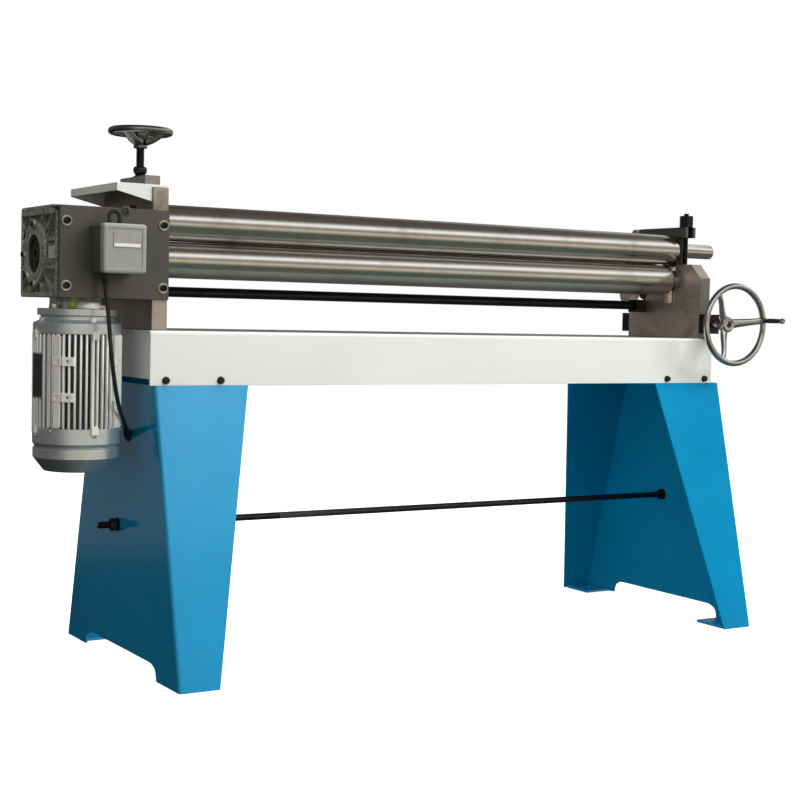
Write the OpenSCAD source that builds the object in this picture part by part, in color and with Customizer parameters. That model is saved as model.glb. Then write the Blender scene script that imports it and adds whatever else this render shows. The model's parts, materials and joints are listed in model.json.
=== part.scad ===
// Motor-driven three-roll plate rolling machine (slip roll) on two folded sheet stands.
// Origin: on the floor, midway between the stands. X runs along the rolls, -Y is the front.

/* [Stands] */
// How far a stand's outer face lies outside the clear width between the side frames
stand_out = 43; // [36:1:60]
// Height of the stands
stand_h = 556; // [450:1:700]
// Depth of a stand at its top
stand_top_d = 326; // [300:1:420]
// Depth of a stand on the floor
stand_foot_d = 596; // [480:1:700]
// Width of a stand's folded edges at the top
edge_top_w = 194; // [150:1:240]
// Width of a stand's folded edges at the floor
edge_foot_w = 82; // [60:1:110]
// Thickness of the stand sheet
stand_t = 5; // [3:0.5:8]
// Height of the cut-out between the feet
foot_cut_h = 30; // [20:1:60]
// Length of each foot along the floor
foot_l = 110; // [80:1:150]
// Height of the stand lip that bolts inside the bed
lip_h = 36; // [20:1:60]
// Height of the tie rod
tie_z = 272; // [150:1:400]
// Distance of the tie rod behind the middle
tie_y = 15; // [-60:1:60]
// Diameter of the tie rod
tie_d = 14; // [10:1:20]
// Diameter of the floor bolt holes
anchor_d = 14; // [8:1:18]

/* [Bed] */
// How far the bed channel stands out past each side frame
bed_over = 5; // [2:1:9]
// Height of the bed channel
bed_h = 104; // [80:1:140]
// Thickness of the bed sheet
bed_t = 5; // [4:0.5:8]

/* [Side frames] */
// Clear distance between the side frames
frame_gap = 1338; // [1100:1:1600]
// Shift of the middle between the frames along the rolls
frame_shift = -17; // [-20:1:20]
// Thickness of a side frame
frame_t = 31; // [26:1:40]
// Front face of the side frames
frame_front = 155; // [145:1:162]
// Rear face of the side frames
frame_rear = 97; // [94:1:140]
// How far the side frames' horns stand out behind their rear faces
horn_out = 41; // [38:1:60]
// Height of the drive-side frame
frame_left_h = 267; // [262:1:300]
// Height of the open-end frame at the front
frame_right_h = 173; // [168:1:180]

/* [Rolls] */
// Diameter of the rolls
roll_d = 70; // [60:0.5:72]
// Gap between the pinch rolls, for the sheet
roll_gap = 1.5; // [1:0.1:10]
// Distance of the pinch rolls in front of the middle
roll_y = 50; // [46:1:54]
// Height of the upper roll's axis above the bed
upper_up = 207.5; // [204:0.5:214]
// Height of the bending roll's axis above the bed
rear_up = 140; // [136:0.5:142]
// Distance of the bending roll behind the pinch rolls
rear_back = 84; // [78:0.5:88]
// Slope of the bending roll's slot from upright
slot_tilt = 36.4; // [34:0.1:39]
// Diameter of the upper roll's journals
upper_journal_d = 34; // [28:1:36]
// Diameter of the other rolls' journals
journal_d = 26; // [20:1:28]
// How far the upper roll's journal stands out of the open-end frame
journal_out = 92; // [60:1:120]

/* [Drive] */
// Length of the gear cover
cover_l = 212; // [200:1:230]
// Height of the gear cover
cover_h = 167; // [150:1:180]
// Height of the gear cover's lower edge above the bed
cover_up = 57; // [50:1:62]
// Thickness of the gear cover
cover_t = 8; // [5:0.5:10]
// Width of the worm gearbox along the rolls
gearbox_w = 120; // [100:1:130]
// Depth of the worm gearbox
gearbox_d = 205; // [190:1:215]
// Height of the worm gearbox
gearbox_h = 163; // [150:1:170]
// Diameter over the motor's fins
motor_d = 167; // [150:1:170]
// Length of the motor from its flange to the end of the fan cowl
motor_l = 303; // [280:1:330]
// Diameter of the motor flange
motor_flange_d = 148; // [140:1:160]
// Width of the switch box
switch_w = 83; // [60:1:95]
// Height of the switch box
switch_h = 90; // [80:1:110]
// Depth of the switch box
switch_d = 70; // [60:1:85]
// Distance of the switch box from the gear cover's inner end
switch_in = 73; // [50:1:90]

/* [Adjusting gear] */
// Diameter of the front handwheel
wheel_d = 190; // [160:1:210]
// Diameter of the top handwheel
top_wheel_d = 124; // [100:1:150]
// Diameter of the jack screw
jack_d = 16; // [12:1:20]
// How far the jack screw stands out of its block
jack_out = 87; // [80:1:110]
// Diameter of the cross shaft under the rolls
link_d = 21; // [16:1:24]
// Length of the crank grip
grip_l = 57; // [45:1:80]
// Diameter of the swing bolt
swing_d = 12; // [10:1:14]

/* [Hidden] */

run_gap = 0.05;
slide_gap = 0.3;
eps = 1;
round_fn = 96;

half_span = frame_gap / 2 + stand_out;
half_top = stand_top_d / 2;
half_foot = stand_foot_d / 2;
lip_x0 = 30;
lip_x1 = edge_top_w - 8;
anchor_x = half_span - 44;
anchor_y = half_foot - stand_t - 48;
bed_z = stand_h + bed_h;

frame_in_l = frame_shift - frame_gap / 2;
frame_in_r = frame_shift + frame_gap / 2;
frame_mid_l = frame_in_l - frame_t / 2;
frame_mid_r = frame_in_r + frame_t / 2;
frame_out_l = frame_in_l - frame_t;
frame_out_r = frame_in_r + frame_t;
bed_x0 = frame_out_l - bed_over;
bed_x1 = frame_out_r + bed_over;
frame_left_top = bed_z + frame_left_h;
frame_right_top = bed_z + frame_right_h;
frame_chamfer = 33;
horn_bevel = 6;
horn_under = 78;
horn_over = 20;
horn_round_z = 28;
horn_low_z = 46;

upper_z = bed_z + upper_up;
lower_z = upper_z - roll_d - roll_gap;
rear_y = rear_back - roll_y;
rear_z = bed_z + rear_up;
horn_z0 = rear_z - horn_under;
horn_z1 = rear_z + horn_over;
roll_end_gap = 2;
gear_end = 44;
stub_end = 3;

// Bearing seats in the side frames
lower_nest_w = journal_d + 6;
upper_nest_w = upper_journal_d + 7;
nest_deep = 53;
nest_floor = lower_z - nest_deep;
upper_block_wall = 12;
upper_block_under = 20;
upper_block_low = upper_z - upper_journal_d / 2 - upper_block_under;
upper_block_top = upper_z + upper_journal_d / 2 + upper_block_wall;
lower_block_h = journal_d + 20;
lower_screw_d = 14;
lower_screw_deep = 32;
rear_block_w = journal_d + 22;
rear_block_up = journal_d / 2 + 9;
rear_block_down = journal_d / 2 + 35;
rear_slot_up = 61;
rear_slot_down = 84;

// Drive side
cover_x1 = frame_in_l - eps;
cover_x0 = cover_x1 - cover_l;
cover_z0 = bed_z + cover_up;
cover_z1 = cover_z0 + cover_h;
case_wall = 4;
gear_case_l = 56;
gearbox_x1 = frame_out_l - gear_case_l;
gearbox_x0 = gearbox_x1 - gearbox_w;
gearbox_z1 = cover_z1 - case_wall;
gearbox_z0 = gearbox_z1 - gearbox_h;
gearbox_rear = 78;
gearbox_front = gearbox_d - gearbox_rear;
output_y = -2;
output_z = (gearbox_z0 + gearbox_z1) / 2;
worm_x = (gearbox_x0 + gearbox_x1) / 2;
worm_y = -77;
adapter_h = 20;
adapter_d = 104;
motor_z1 = gearbox_z0 - adapter_h;
flange_t = 13;
top_bell_h = 34;
low_bell_h = 38;
cowl_h = 44;
bell_r = motor_d / 2 - 2;
motor_body_h = motor_l - flange_t - top_bell_h - low_bell_h - cowl_h;
motor_body_z = motor_z1 - flange_t - top_bell_h - motor_body_h;
gear_room = 46;
cover_stud_in = 18;
cover_stud_z = 26;

// Switch box on the gear cover
cover_face = -(frame_front + cover_t);
switch_x1 = cover_x1 - switch_in;
switch_x0 = switch_x1 - switch_w;
switch_up = 45;
switch_z0 = cover_z0 + switch_up;
cable_d = 8;
gland_d = 16;
gland_l = 18;
gland_deep = 12;
gland_wall = 2;
spigot_d = gland_d - 2 * gland_wall;
box_gland_in = 22;
box_gland_out = 24;
box_gland_x = switch_x0 + box_gland_in;
box_gland_y = cover_face - box_gland_out;
stand_gland_y = -35;
stand_gland_z = 453;
stand_gland_d = 24;
sleeve_l = 45;
sleeve_d = 16;

// Jack screw over the drive-side frame
jack_y = -roll_y;
block_l = 127;
block_h = 20;
bracket_t = 5;
bracket_l = 70;
bracket_z = frame_left_top + bracket_t;
collar_h = 22;
jack_top = bracket_z + block_h + jack_out;
top_hub_d = 26;
top_hub_h = 24;
top_rim_d = 14;
top_dish = 14;
screw_tip = 2;
pad_h = 7;
pad_d = jack_d + 6;
pad_travel = 8;
pad_z = upper_block_top + slide_gap;
nest_top = pad_z + pad_h + pad_travel + 3;

// Open end: cap bar over the upper roll, held by a swing bolt
post_top = upper_block_top;
cap_h = 25;
cap_front = 100;
cap_pin_y = frame_rear - cap_h / 2;
cap_pin_z = post_top + cap_h / 2;
cap_ear_t = 8;
cap_pin_d = 8;
swing_pin_d = 8;
swing_in = 12.5;
swing_y = roll_y + upper_nest_w / 2 + swing_in;
swing_low = 18;
swing_z = frame_right_top - swing_low;
swing_slot_w = swing_d + 4;
swing_nut_h = 27;
swing_nut_af = 29;
swing_tip = 6;
swing_top = post_top + cap_h + swing_nut_h + swing_tip;

// Adjusting gear of the bending roll
link_y = 50;
link_up = 75;
link_z = bed_z + link_up;
wheel_up = 34;
wheel_shaft_z = bed_z + wheel_up;
wheel_shaft_d = 16;
wheel_box_h = 45;
wheel_box_d = 35;
wheel_hub_d = 28;
wheel_hub_h = 26;
wheel_rim_d = 16;
wheel_dish = 34;
wheel_reach = 34;
wheel_hub_y = -(frame_front + wheel_box_d + wheel_reach);
wheel_rim_y = wheel_hub_y - wheel_dish;
rear_box_d = 25;
wheel_shaft_end = frame_rear + rear_box_d - 7;
grip_angle = 7;
grip_r = wheel_d / 2 - wheel_rim_d / 2;
grip_x = frame_mid_r + grip_r * cos(grip_angle);
grip_z = wheel_shaft_z + grip_r * sin(grip_angle);
grip_pin_d = 6;
boss_d = 17;
boss_h = 18;

// Cable between the switch box and the stand: points from its upper end and from its lower end
cable_sides = 10;
cable_steps = 3;
sleeve_way = [-24, -45, 18];
stand_gland = [-half_span, stand_gland_y, stand_gland_z];
cable_top = [box_gland_x, box_gland_y, switch_z0 - gland_l];
cable_end = stand_gland + sleeve_l * unit(sleeve_way);
cable_upper = [[0, 0, 0], [0.6, 0, -12], [2.6, -0.3, -27], [5.2, -0.5, -46], [8, -1, -78],
    [10.7, -1, -110], [14.8, 1, -139], [19.8, 5, -166], [25.9, 11, -190], [33, 18.5, -212]];
cable_lower = [[-47, -83.6, 46], [-35.4, -65.6, 31], [-22, -45, 18], [-11, -22, 9], [0, 0, 0]];
cable_points = concat([for (p = cable_upper) cable_top + p], [for (p = cable_lower) cable_end + p]);
cable_line = concat([for (i = [0 : len(cable_points) - 2], s = [0 : cable_steps - 1])
    curve_at(cable_points, i, s / cable_steps)], [cable_points[len(cable_points) - 1]]);

// ---- small helpers -------------------------------------------------------

function unit(v) = v / norm(v);

module rod_x(x0, x1, d, y = 0, z = 0) {
    translate([x0, y, z])
        rotate([0, 90, 0])
            cylinder(h = x1 - x0, d = d, $fn = round_fn);
}

module rod_y(y0, y1, d, x = 0, z = 0) {
    translate([x, y1, z])
        rotate([90, 0, 0])
            cylinder(h = y1 - y0, d = d, $fn = round_fn);
}

module rod_z(z0, z1, d, x = 0, y = 0) {
    translate([x, y, z0])
        cylinder(h = z1 - z0, d = d, $fn = round_fn);
}

module box(x0, x1, y0, y1, z0, z1) {
    translate([x0, y0, z0])
        cube([x1 - x0, y1 - y0, z1 - z0]);
}

// A profile drawn in Y and Z, given thickness along X
module slab_x(x0, x1) {
    translate([x0, 0, 0])
        rotate([90, 0, 90])
            linear_extrude(x1 - x0)
                children();
}

// A profile drawn in X and Z, given thickness along Y
module slab_y(y0, y1) {
    translate([0, y1, 0])
        rotate([90, 0, 0])
            linear_extrude(y1 - y0)
                children();
}

module hex_z(z0, z1, across, x, y) {
    translate([x, y, z0])
        cylinder(h = z1 - z0, d = across / cos(30), $fn = 6);
}

module hex_x(x0, x1, across, y, z) {
    translate([x0, y, z])
        rotate([0, 90, 0])
            cylinder(h = x1 - x0, d = across / cos(30), $fn = 6);
}

// A square with round corners made of true circles
module round_rect(w, h, r) {
    square([w - 2 * r, h], center = true);
    square([w, h - 2 * r], center = true);
    for (sx = [-1, 1], sy = [-1, 1])
        translate([sx * (w / 2 - r), sy * (h / 2 - r)])
            circle(r = r, $fn = 48);
}

// Places children in the bending roll's slot: Z points up along the slot
module in_slot() {
    translate([0, rear_y, rear_z])
        rotate([slot_tilt, 0, 0])
            children();
}

// ---- stands --------------------------------------------------------------

// Outline of a stand's side plate in Y and Z
module stand_side() {
    foot_in = half_foot - foot_l;
    cut_ramp = 28;
    polygon([[-half_top, stand_h], [-half_foot, 0], [-foot_in, 0], [-foot_in, foot_cut_h / 2],
        [-foot_in + cut_ramp, foot_cut_h], [foot_in - cut_ramp, foot_cut_h],
        [foot_in, foot_cut_h / 2], [foot_in, 0], [half_foot, 0], [half_top, stand_h]]);
}

// Outline of a folded edge in X and Z, from the outer face inwards
module stand_edge() {
    polygon([[0, 0], [edge_foot_w, 0], [edge_top_w, stand_h], [0, stand_h]]);
}

// Folded edge laid along the sloping front or rear of the side plate
module sloped_edge(side) {
    lean = (half_foot - half_top) / stand_h;
    multmatrix([[1, 0, 0, 0], [0, 1, -side * lean, side * half_foot], [0, 0, 1, 0]])
        translate([0, side > 0 ? -stand_t : 0, 0])
            slab_y(0, stand_t)
                stand_edge();
}

// Lip inside the bed skirt, bolted to it
module stand_lip(side) {
    lip_in = half_top - bed_t;
    y0 = side > 0 ? lip_in - stand_t : -lip_in;
    box(lip_x0, lip_x1, y0, y0 + stand_t, stand_h - eps, stand_h + lip_h);
}

module stand() {
    difference() {
        union() {
            slab_x(0, stand_t)
                stand_side();
            sloped_edge(-1);
            sloped_edge(1);
            box(0, edge_top_w, -half_top, half_top, stand_h - stand_t, stand_h);
            stand_lip(-1);
            stand_lip(1);
        }
        rod_x(-eps, stand_t + eps, tie_d, tie_y, tie_z);
    }
}

module left_stand() {
    color("steelblue")
        difference() {
            translate([-half_span, 0, 0])
                stand();
            rod_x(-half_span - eps, -half_span + stand_t + eps, spigot_d + 2 * run_gap,
                stand_gland_y, stand_gland_z);
        }
}

module right_stand() {
    color("steelblue")
        translate([half_span, 0, 0])
            mirror([1, 0, 0])
                stand();
}

// Thick plates inside the four feet, drilled for floor bolts
module foot_plates() {
    plate_t = 6;
    plate_l = 84;
    plate_w = edge_foot_w - stand_t - 2;
    color("dimgray")
        for (sx = [-1, 1], sy = [-1, 1])
            difference() {
                translate([sx * (half_span - stand_t - plate_w / 2), sy * anchor_y, 0])
                    translate([-plate_w / 2, -plate_l / 2, 0])
                        cube([plate_w, plate_l, plate_t]);
                rod_z(-eps, plate_t + eps, anchor_d, sx * anchor_x, sy * anchor_y);
            }
}

module tie_rod() {
    tail = 22;
    color("black")
        rod_x(-half_span - tail, half_span + tail, tie_d, tie_y, tie_z);
}

module tie_rod_nuts() {
    nut_h = 11;
    nut_af = tie_d * 1.55;
    faces = [-half_span - nut_h, -half_span + stand_t, half_span - stand_t - nut_h, half_span];
    color("dimgray")
        for (x = faces)
            difference() {
                hex_x(x, x + nut_h, nut_af, tie_y, tie_z);
                rod_x(x - eps, x + nut_h + eps, tie_d, tie_y, tie_z);
            }
}

// ---- bed -----------------------------------------------------------------

module bed() {
    end_up = 12;
    color("white")
        union() {
            difference() {
                box(bed_x0, bed_x1, -half_top, half_top, stand_h, bed_z);
                box(bed_x0 - eps, bed_x1 + eps, -half_top + bed_t, half_top - bed_t,
                    stand_h - eps, bed_z - bed_t);
            }
            for (x = [bed_x0, bed_x1 - bed_t])
                box(x, x + bed_t, -half_top + bed_t, half_top - bed_t, stand_h + end_up, bed_z - bed_t);
        }
}

// ---- side frames ---------------------------------------------------------

// Rear edge of a side frame in Y and Z, with the horn round the bending roll's slot
function rear_edge(top) = [[frame_rear, bed_z], [frame_rear, horn_z0],
    [frame_rear + horn_out - horn_bevel, horn_z0 + horn_round_z],
    [frame_rear + horn_out, horn_z0 + horn_low_z],
    [frame_rear + horn_out, horn_z1], [frame_rear, horn_z1 + horn_out], [frame_rear, top]];

// Openings in a side frame for the three rolls' bearings, in Y and Z
module frame_nests(top) {
    translate([-roll_y - lower_nest_w / 2, nest_floor])
        square([lower_nest_w, upper_block_low - nest_floor + eps]);
    translate([-roll_y - upper_nest_w / 2, upper_block_low])
        square([upper_nest_w, top - upper_block_low]);
    translate([rear_y, rear_z])
        rotate(slot_tilt)
            translate([-rear_block_w / 2 - slide_gap, -rear_slot_down])
                square([rear_block_w + 2 * slide_gap, rear_slot_down + rear_slot_up]);
}

module frame_screw_bores(x) {
    rod_z(nest_floor - lower_screw_deep, nest_floor + eps, lower_screw_d, x, -roll_y);
}

module left_frame() {
    color("rosybrown")
        difference() {
            slab_x(frame_out_l, frame_in_l)
                difference() {
                    polygon(concat([[-frame_front, bed_z]], rear_edge(frame_left_top),
                        [[-frame_front, frame_left_top]]));
                    frame_nests(upper_block_top);
                }
            frame_screw_bores(frame_mid_l);
            rod_z(upper_block_top - eps, frame_left_top + eps, jack_d + 2 * run_gap, frame_mid_l, jack_y);
            rod_z(upper_block_top - eps, nest_top, pad_d + 4, frame_mid_l, jack_y);
        }
}

module right_frame() {
    ear_y = cap_pin_y - cap_h / 2;
    color("rosybrown")
        difference() {
            union() {
                slab_x(frame_in_r, frame_out_r)
                    difference() {
                        polygon(concat([[-frame_front, bed_z]], rear_edge(post_top),
                            [[-roll_y + upper_nest_w / 2, post_top],
                            [-roll_y + upper_nest_w / 2, frame_right_top],
                            [-frame_front + frame_chamfer, frame_right_top],
                            [-frame_front, frame_right_top - frame_chamfer]]));
                        frame_nests(post_top + eps);
                    }
                for (x = [frame_in_r, frame_out_r - cap_ear_t]) {
                    rod_x(x, x + cap_ear_t, cap_h, cap_pin_y, cap_pin_z);
                    box(x, x + cap_ear_t, ear_y, ear_y + cap_h, post_top - eps, cap_pin_z);
                }
            }
            frame_screw_bores(frame_mid_r);
            rod_x(frame_in_r - eps, frame_out_r + eps, cap_pin_d, cap_pin_y, cap_pin_z);
            rod_y(-frame_front - eps, frame_rear + eps, wheel_shaft_d + 2 * run_gap,
                frame_mid_r, wheel_shaft_z);
            swing_slot();
            rod_x(frame_in_r - eps, frame_out_r + eps, swing_pin_d, -swing_y, swing_z);
        }
}

// Slot in the open-end frame's front horn where the swing bolt turns
module swing_slot() {
    room_front = 29;
    room_back = 12;
    box(frame_mid_r - swing_slot_w / 2, frame_mid_r + swing_slot_w / 2,
        -swing_y - room_front, -swing_y + room_back, swing_z - swing_d, frame_right_top + eps);
}

// ---- rolls ---------------------------------------------------------------

module roll_body(y, z) {
    rod_x(frame_in_l + roll_end_gap, frame_in_r - roll_end_gap, roll_d, y, z);
}

module upper_roll() {
    color("silver")
        roll_body(-roll_y, upper_z);
}

module upper_roll_journals() {
    color("silver") {
        rod_x(frame_out_l - gear_end, frame_in_l + roll_end_gap, upper_journal_d, -roll_y, upper_z);
        rod_x(frame_in_r - roll_end_gap, frame_out_r + journal_out, upper_journal_d, -roll_y, upper_z);
    }
}

module lower_roll() {
    color("silver")
        union() {
            roll_body(-roll_y, lower_z);
            rod_x(frame_out_l - gear_end, frame_in_l + roll_end_gap, journal_d, -roll_y, lower_z);
            rod_x(frame_in_r - roll_end_gap, frame_out_r + stub_end, journal_d, -roll_y, lower_z);
        }
}

module bending_roll() {
    color("silver")
        union() {
            roll_body(rear_y, rear_z);
            rod_x(frame_out_l - stub_end, frame_in_l + roll_end_gap, journal_d, rear_y, rear_z);
            rod_x(frame_in_r - roll_end_gap, frame_out_r + stub_end, journal_d, rear_y, rear_z);
        }
}

module upper_bearings() {
    color("dimgray")
        for (x = [frame_out_l, frame_in_r])
            difference() {
                box(x, x + frame_t, -roll_y - upper_nest_w / 2, -roll_y + upper_nest_w / 2,
                    upper_block_low, upper_block_top);
                rod_x(x - eps, x + frame_t + eps, upper_journal_d + 2 * run_gap, -roll_y, upper_z);
            }
}

module lower_bearings() {
    z0 = lower_z - lower_block_h / 2;
    color("dimgray")
        for (x = [frame_out_l, frame_in_r])
            difference() {
                box(x, x + frame_t, -roll_y - lower_nest_w / 2, -roll_y + lower_nest_w / 2,
                    z0, z0 + lower_block_h);
                rod_x(x - eps, x + frame_t + eps, journal_d + 2 * run_gap, -roll_y, lower_z);
            }
}

module lower_roll_screws() {
    color("gray")
        for (x = [frame_mid_l, frame_mid_r])
            rod_z(nest_floor - lower_screw_deep, lower_z - lower_block_h / 2, lower_screw_d, x, -roll_y);
}

module bending_bearings() {
    color("dimgray")
        for (x = [frame_out_l, frame_in_r])
            difference() {
                in_slot()
                    box(x, x + frame_t, -rear_block_w / 2, rear_block_w / 2,
                        -rear_block_down, rear_block_up);
                rod_x(x - eps, x + frame_t + eps, journal_d + 2 * run_gap, rear_y, rear_z);
            }
}

module lift_rods() {
    lift_d = 14;
    lift_l = 9;
    color("gray")
        for (x = [frame_mid_l, frame_mid_r])
            in_slot()
                rod_z(-rear_block_down - lift_l, -rear_block_down, lift_d, x, 0);
}

// ---- drive side ----------------------------------------------------------

module gear_case() {
    rear_wall = gearbox_rear + 7;
    color("dimgray")
        difference() {
            box(gearbox_x1, frame_out_l, -frame_front, rear_wall, cover_z0, gearbox_z1);
            box(gearbox_x1 - eps, frame_out_l + eps, -frame_front - eps, rear_wall - case_wall,
                cover_z0 + case_wall, gearbox_z1 - case_wall);
            box(gearbox_x1 - eps, frame_out_l + eps, -roll_y - gear_room, -roll_y + gear_room,
                gearbox_z1 - case_wall - eps, gearbox_z1 + eps);
        }
}

module gear_cover_front() {
    stud_d = 14;
    color("dimgray")
        union() {
            box(cover_x0, cover_x1, cover_face, -frame_front, cover_z0, cover_z1);
            for (z = [cover_z0 + cover_stud_z, cover_z1 - cover_stud_z])
                rod_y(-frame_front - eps, -gearbox_front, stud_d, cover_x0 + cover_stud_in, z);
        }
}

module gear_cover_top() {
    top_back = 112;
    color("dimgray")
        box(cover_x0, frame_out_l, -frame_front, -top_back, gearbox_z1, cover_z1);
}

module worm_gearbox() {
    corner_r = 8;
    wall = 9;
    pocket = 14;
    hub_d = 124;
    seal_in = 12;
    seal_deep = 5;
    bore_d = 35;
    bore_l = 60;
    rib_t = 7;
    rib_z = 26;
    top_rise = 8;
    rise_front = 111.5;
    mid_y = (gearbox_rear - gearbox_front) / 2;
    rise_y = (gearbox_rear - rise_front) / 2;
    rise_h = gearbox_h / 2 + top_rise;
    color("gray")
        difference() {
            union() {
                difference() {
                    slab_x(gearbox_x0, gearbox_x1) {
                        translate([mid_y, output_z])
                            round_rect(gearbox_d, gearbox_h, corner_r);
                        translate([rise_y, output_z + rise_h / 2])
                            round_rect(gearbox_rear + rise_front, rise_h, corner_r);
                    }
                    slab_x(gearbox_x0 - eps, gearbox_x0 + pocket)
                        translate([mid_y, output_z])
                            square([gearbox_d - 2 * wall, gearbox_h - 2 * wall], center = true);
                }
                rod_x(gearbox_x0, gearbox_x0 + pocket + eps, hub_d, output_y, output_z);
                for (z = [-rib_z, rib_z])
                    box(gearbox_x0 + rib_t / 2, gearbox_x0 + pocket + eps, eps - gearbox_front,
                        gearbox_rear - eps, output_z + z - rib_t / 2, output_z + z + rib_t / 2);
                rod_z(gearbox_z0 - adapter_h, gearbox_z0 + eps, adapter_d, worm_x, worm_y);
            }
            rod_x(gearbox_x0 - eps, gearbox_x0 + seal_deep, hub_d - 2 * seal_in, output_y, output_z);
            rod_x(gearbox_x0 - eps, gearbox_x0 + bore_l, bore_d, output_y, output_z);
        }
}

module motor_flange() {
    color("dimgray")
        rod_z(motor_z1 - flange_t, motor_z1, motor_flange_d, worm_x, worm_y);
}

module motor_top_bell() {
    lip_h = 20;
    neck_h = 26;
    neck_r = motor_flange_d / 2 - 6;
    color("darkgray")
        translate([worm_x, worm_y, motor_z1 - flange_t - top_bell_h])
            rotate_extrude($fn = round_fn)
                polygon([[0, 0], [bell_r, 0], [bell_r, lip_h], [neck_r, neck_h],
                    [neck_r, top_bell_h], [0, top_bell_h]]);
}

module motor_body() {
    fin_count = 32;
    fin_t = 2.4;
    fin_h = 12;
    core_r = motor_d / 2 - fin_h;
    pad_w = 34;
    pad_sink = 8;
    pad_end = 10;
    pad_r = motor_d / 2 - 4;
    color("silver")
        translate([worm_x, worm_y, motor_body_z])
            union() {
                cylinder(h = motor_body_h, r = core_r, $fn = round_fn);
                for (i = [0 : fin_count - 1])
                    rotate([0, 0, i * 360 / fin_count])
                        translate([core_r - eps, -fin_t / 2, 0])
                            cube([fin_h + eps, fin_t, motor_body_h]);
                for (a = [215, 305])
                    rotate([0, 0, a])
                        translate([core_r - pad_sink, -pad_w / 2, pad_end])
                            cube([pad_r - core_r + pad_sink, pad_w, motor_body_h - 2 * pad_end]);
            }
}

module motor_low_bell() {
    groove_h = 3;
    slope_h = 9;
    groove_r = bell_r - 4;
    color("darkgray")
        translate([worm_x, worm_y, motor_body_z - low_bell_h])
            rotate_extrude($fn = round_fn)
                polygon([[0, 0], [groove_r, 0], [groove_r, groove_h], [bell_r, slope_h],
                    [bell_r, low_bell_h], [0, low_bell_h]]);
}

module motor_fan_cowl() {
    cowl_r = motor_d / 2 - 3;
    rim = 20;
    rim_h = 26;
    color("dimgray")
        translate([worm_x, worm_y, motor_z1 - motor_l])
            rotate_extrude($fn = round_fn)
                polygon([[0, 0], [cowl_r - rim, 0], [cowl_r, rim_h], [cowl_r, cowl_h], [0, cowl_h]]);
}

module switch_box() {
    color("lightgray")
        difference() {
            translate([switch_x0, cover_face - switch_d, switch_z0])
                cube([switch_w, switch_d, switch_h]);
            rod_z(switch_z0 - eps, switch_z0 + gland_deep, cable_d + 2 * gland_wall,
                box_gland_x, box_gland_y);
        }
}

module cable_glands() {
    washer_t = 3;
    spigot_out = 6;
    sleeve_tip = cable_d + 3;
    color("black")
        union() {
            difference() {
                rod_z(cable_top.z, switch_z0, gland_d, box_gland_x, box_gland_y);
                rod_z(cable_top.z - eps, switch_z0 + eps, cable_d, box_gland_x, box_gland_y);
            }
            rod_x(-half_span - washer_t, -half_span, stand_gland_d, stand_gland_y, stand_gland_z);
            rod_x(-half_span - eps, -half_span + stand_t + spigot_out, spigot_d,
                stand_gland_y, stand_gland_z);
            intersection() {
                translate(stand_gland)
                    rotate([0, acos(unit(sleeve_way).z), atan2(sleeve_way.y, sleeve_way.x)])
                        translate([0, 0, -sleeve_d / 2])
                            cylinder(h = sleeve_l + sleeve_d / 2, d1 = sleeve_d, d2 = sleeve_tip,
                                $fn = round_fn);
                translate(stand_gland - [sleeve_l, 2 * sleeve_l, sleeve_l])
                    cube([sleeve_l, 4 * sleeve_l, 4 * sleeve_l]);
            }
        }
}

// Point of a smooth curve through the points p at the place t between p[i] and p[i + 1]
function curve_at(p, i, t) =
    let (n = len(p) - 1, a = p[max(i - 1, 0)], b = p[i], c = p[min(i + 1, n)], d = p[min(i + 2, n)])
    0.5 * (2 * b + (c - a) * t + (2 * a - 5 * b + 4 * c - d) * t * t + (3 * b - 3 * c + d - a) * t * t * t);

module switch_cable() {
    n = len(cable_line);
    rings = [for (i = [0 : n - 1])
        let (along = unit(cable_line[min(i + 1, n - 1)] - cable_line[max(i - 1, 0)]),
            side = unit(cross(along, [0.3, 1, 0])), up = cross(side, along))
        for (k = [0 : cable_sides - 1])
            let (a = k * 360 / cable_sides)
            cable_line[i] + cable_d / 2 * (side * cos(a) + up * sin(a))];
    walls = [for (i = [0 : n - 2], k = [0 : cable_sides - 1])
        let (m = (k + 1) % cable_sides, r = i * cable_sides)
        [r + k, r + m, r + m + cable_sides, r + k + cable_sides]];
    first = [[for (k = [cable_sides - 1 : -1 : 0]) k]];
    last = [[for (k = [0 : cable_sides - 1]) (n - 1) * cable_sides + k]];
    color("black")
        polyhedron(points = rings, faces = concat(walls, first, last), convexity = 6);
}

// ---- top bracket and jack screw -------------------------------------------

module top_bracket() {
    x0 = frame_out_l - bracket_l;
    y0 = 5 - frame_front;
    web_t = 3;
    web_low = 32;
    lip = 15;
    jack_room = 2;
    color("white")
        union() {
            difference() {
                box(x0, frame_in_l, y0, frame_rear, frame_left_top, bracket_z);
                rod_z(frame_left_top - eps, bracket_z + eps, jack_d + jack_room, frame_mid_l, jack_y);
            }
            box(x0, x0 + web_t, y0, frame_rear, bracket_z - lip, bracket_z);
            for (y = [y0, frame_rear - web_t])
                slab_y(y, y + web_t)
                    polygon([[x0, bracket_z - eps], [x0, bracket_z - lip],
                        [frame_out_l, bracket_z - web_low], [frame_out_l, bracket_z - eps]]);
        }
}

module screw_block() {
    color("gray")
        difference() {
            box(frame_out_l, frame_in_l, jack_y - block_l / 2, jack_y + block_l / 2,
                bracket_z, bracket_z + block_h);
            rod_z(bracket_z - eps, bracket_z + block_h + eps, jack_d + 2 * run_gap, frame_mid_l, jack_y);
        }
}

module jack_collar() {
    wall = 6;
    z0 = bracket_z + block_h;
    color("dimgray")
        difference() {
            rod_z(z0, z0 + collar_h, jack_d + 2 * wall, frame_mid_l, jack_y);
            rod_z(z0 - eps, z0 + collar_h + eps, jack_d + 2 * run_gap, frame_mid_l, jack_y);
        }
}

module jack_screw() {
    color("black")
        rod_z(pad_z + pad_h, jack_top, jack_d, frame_mid_l, jack_y);
}

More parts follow.
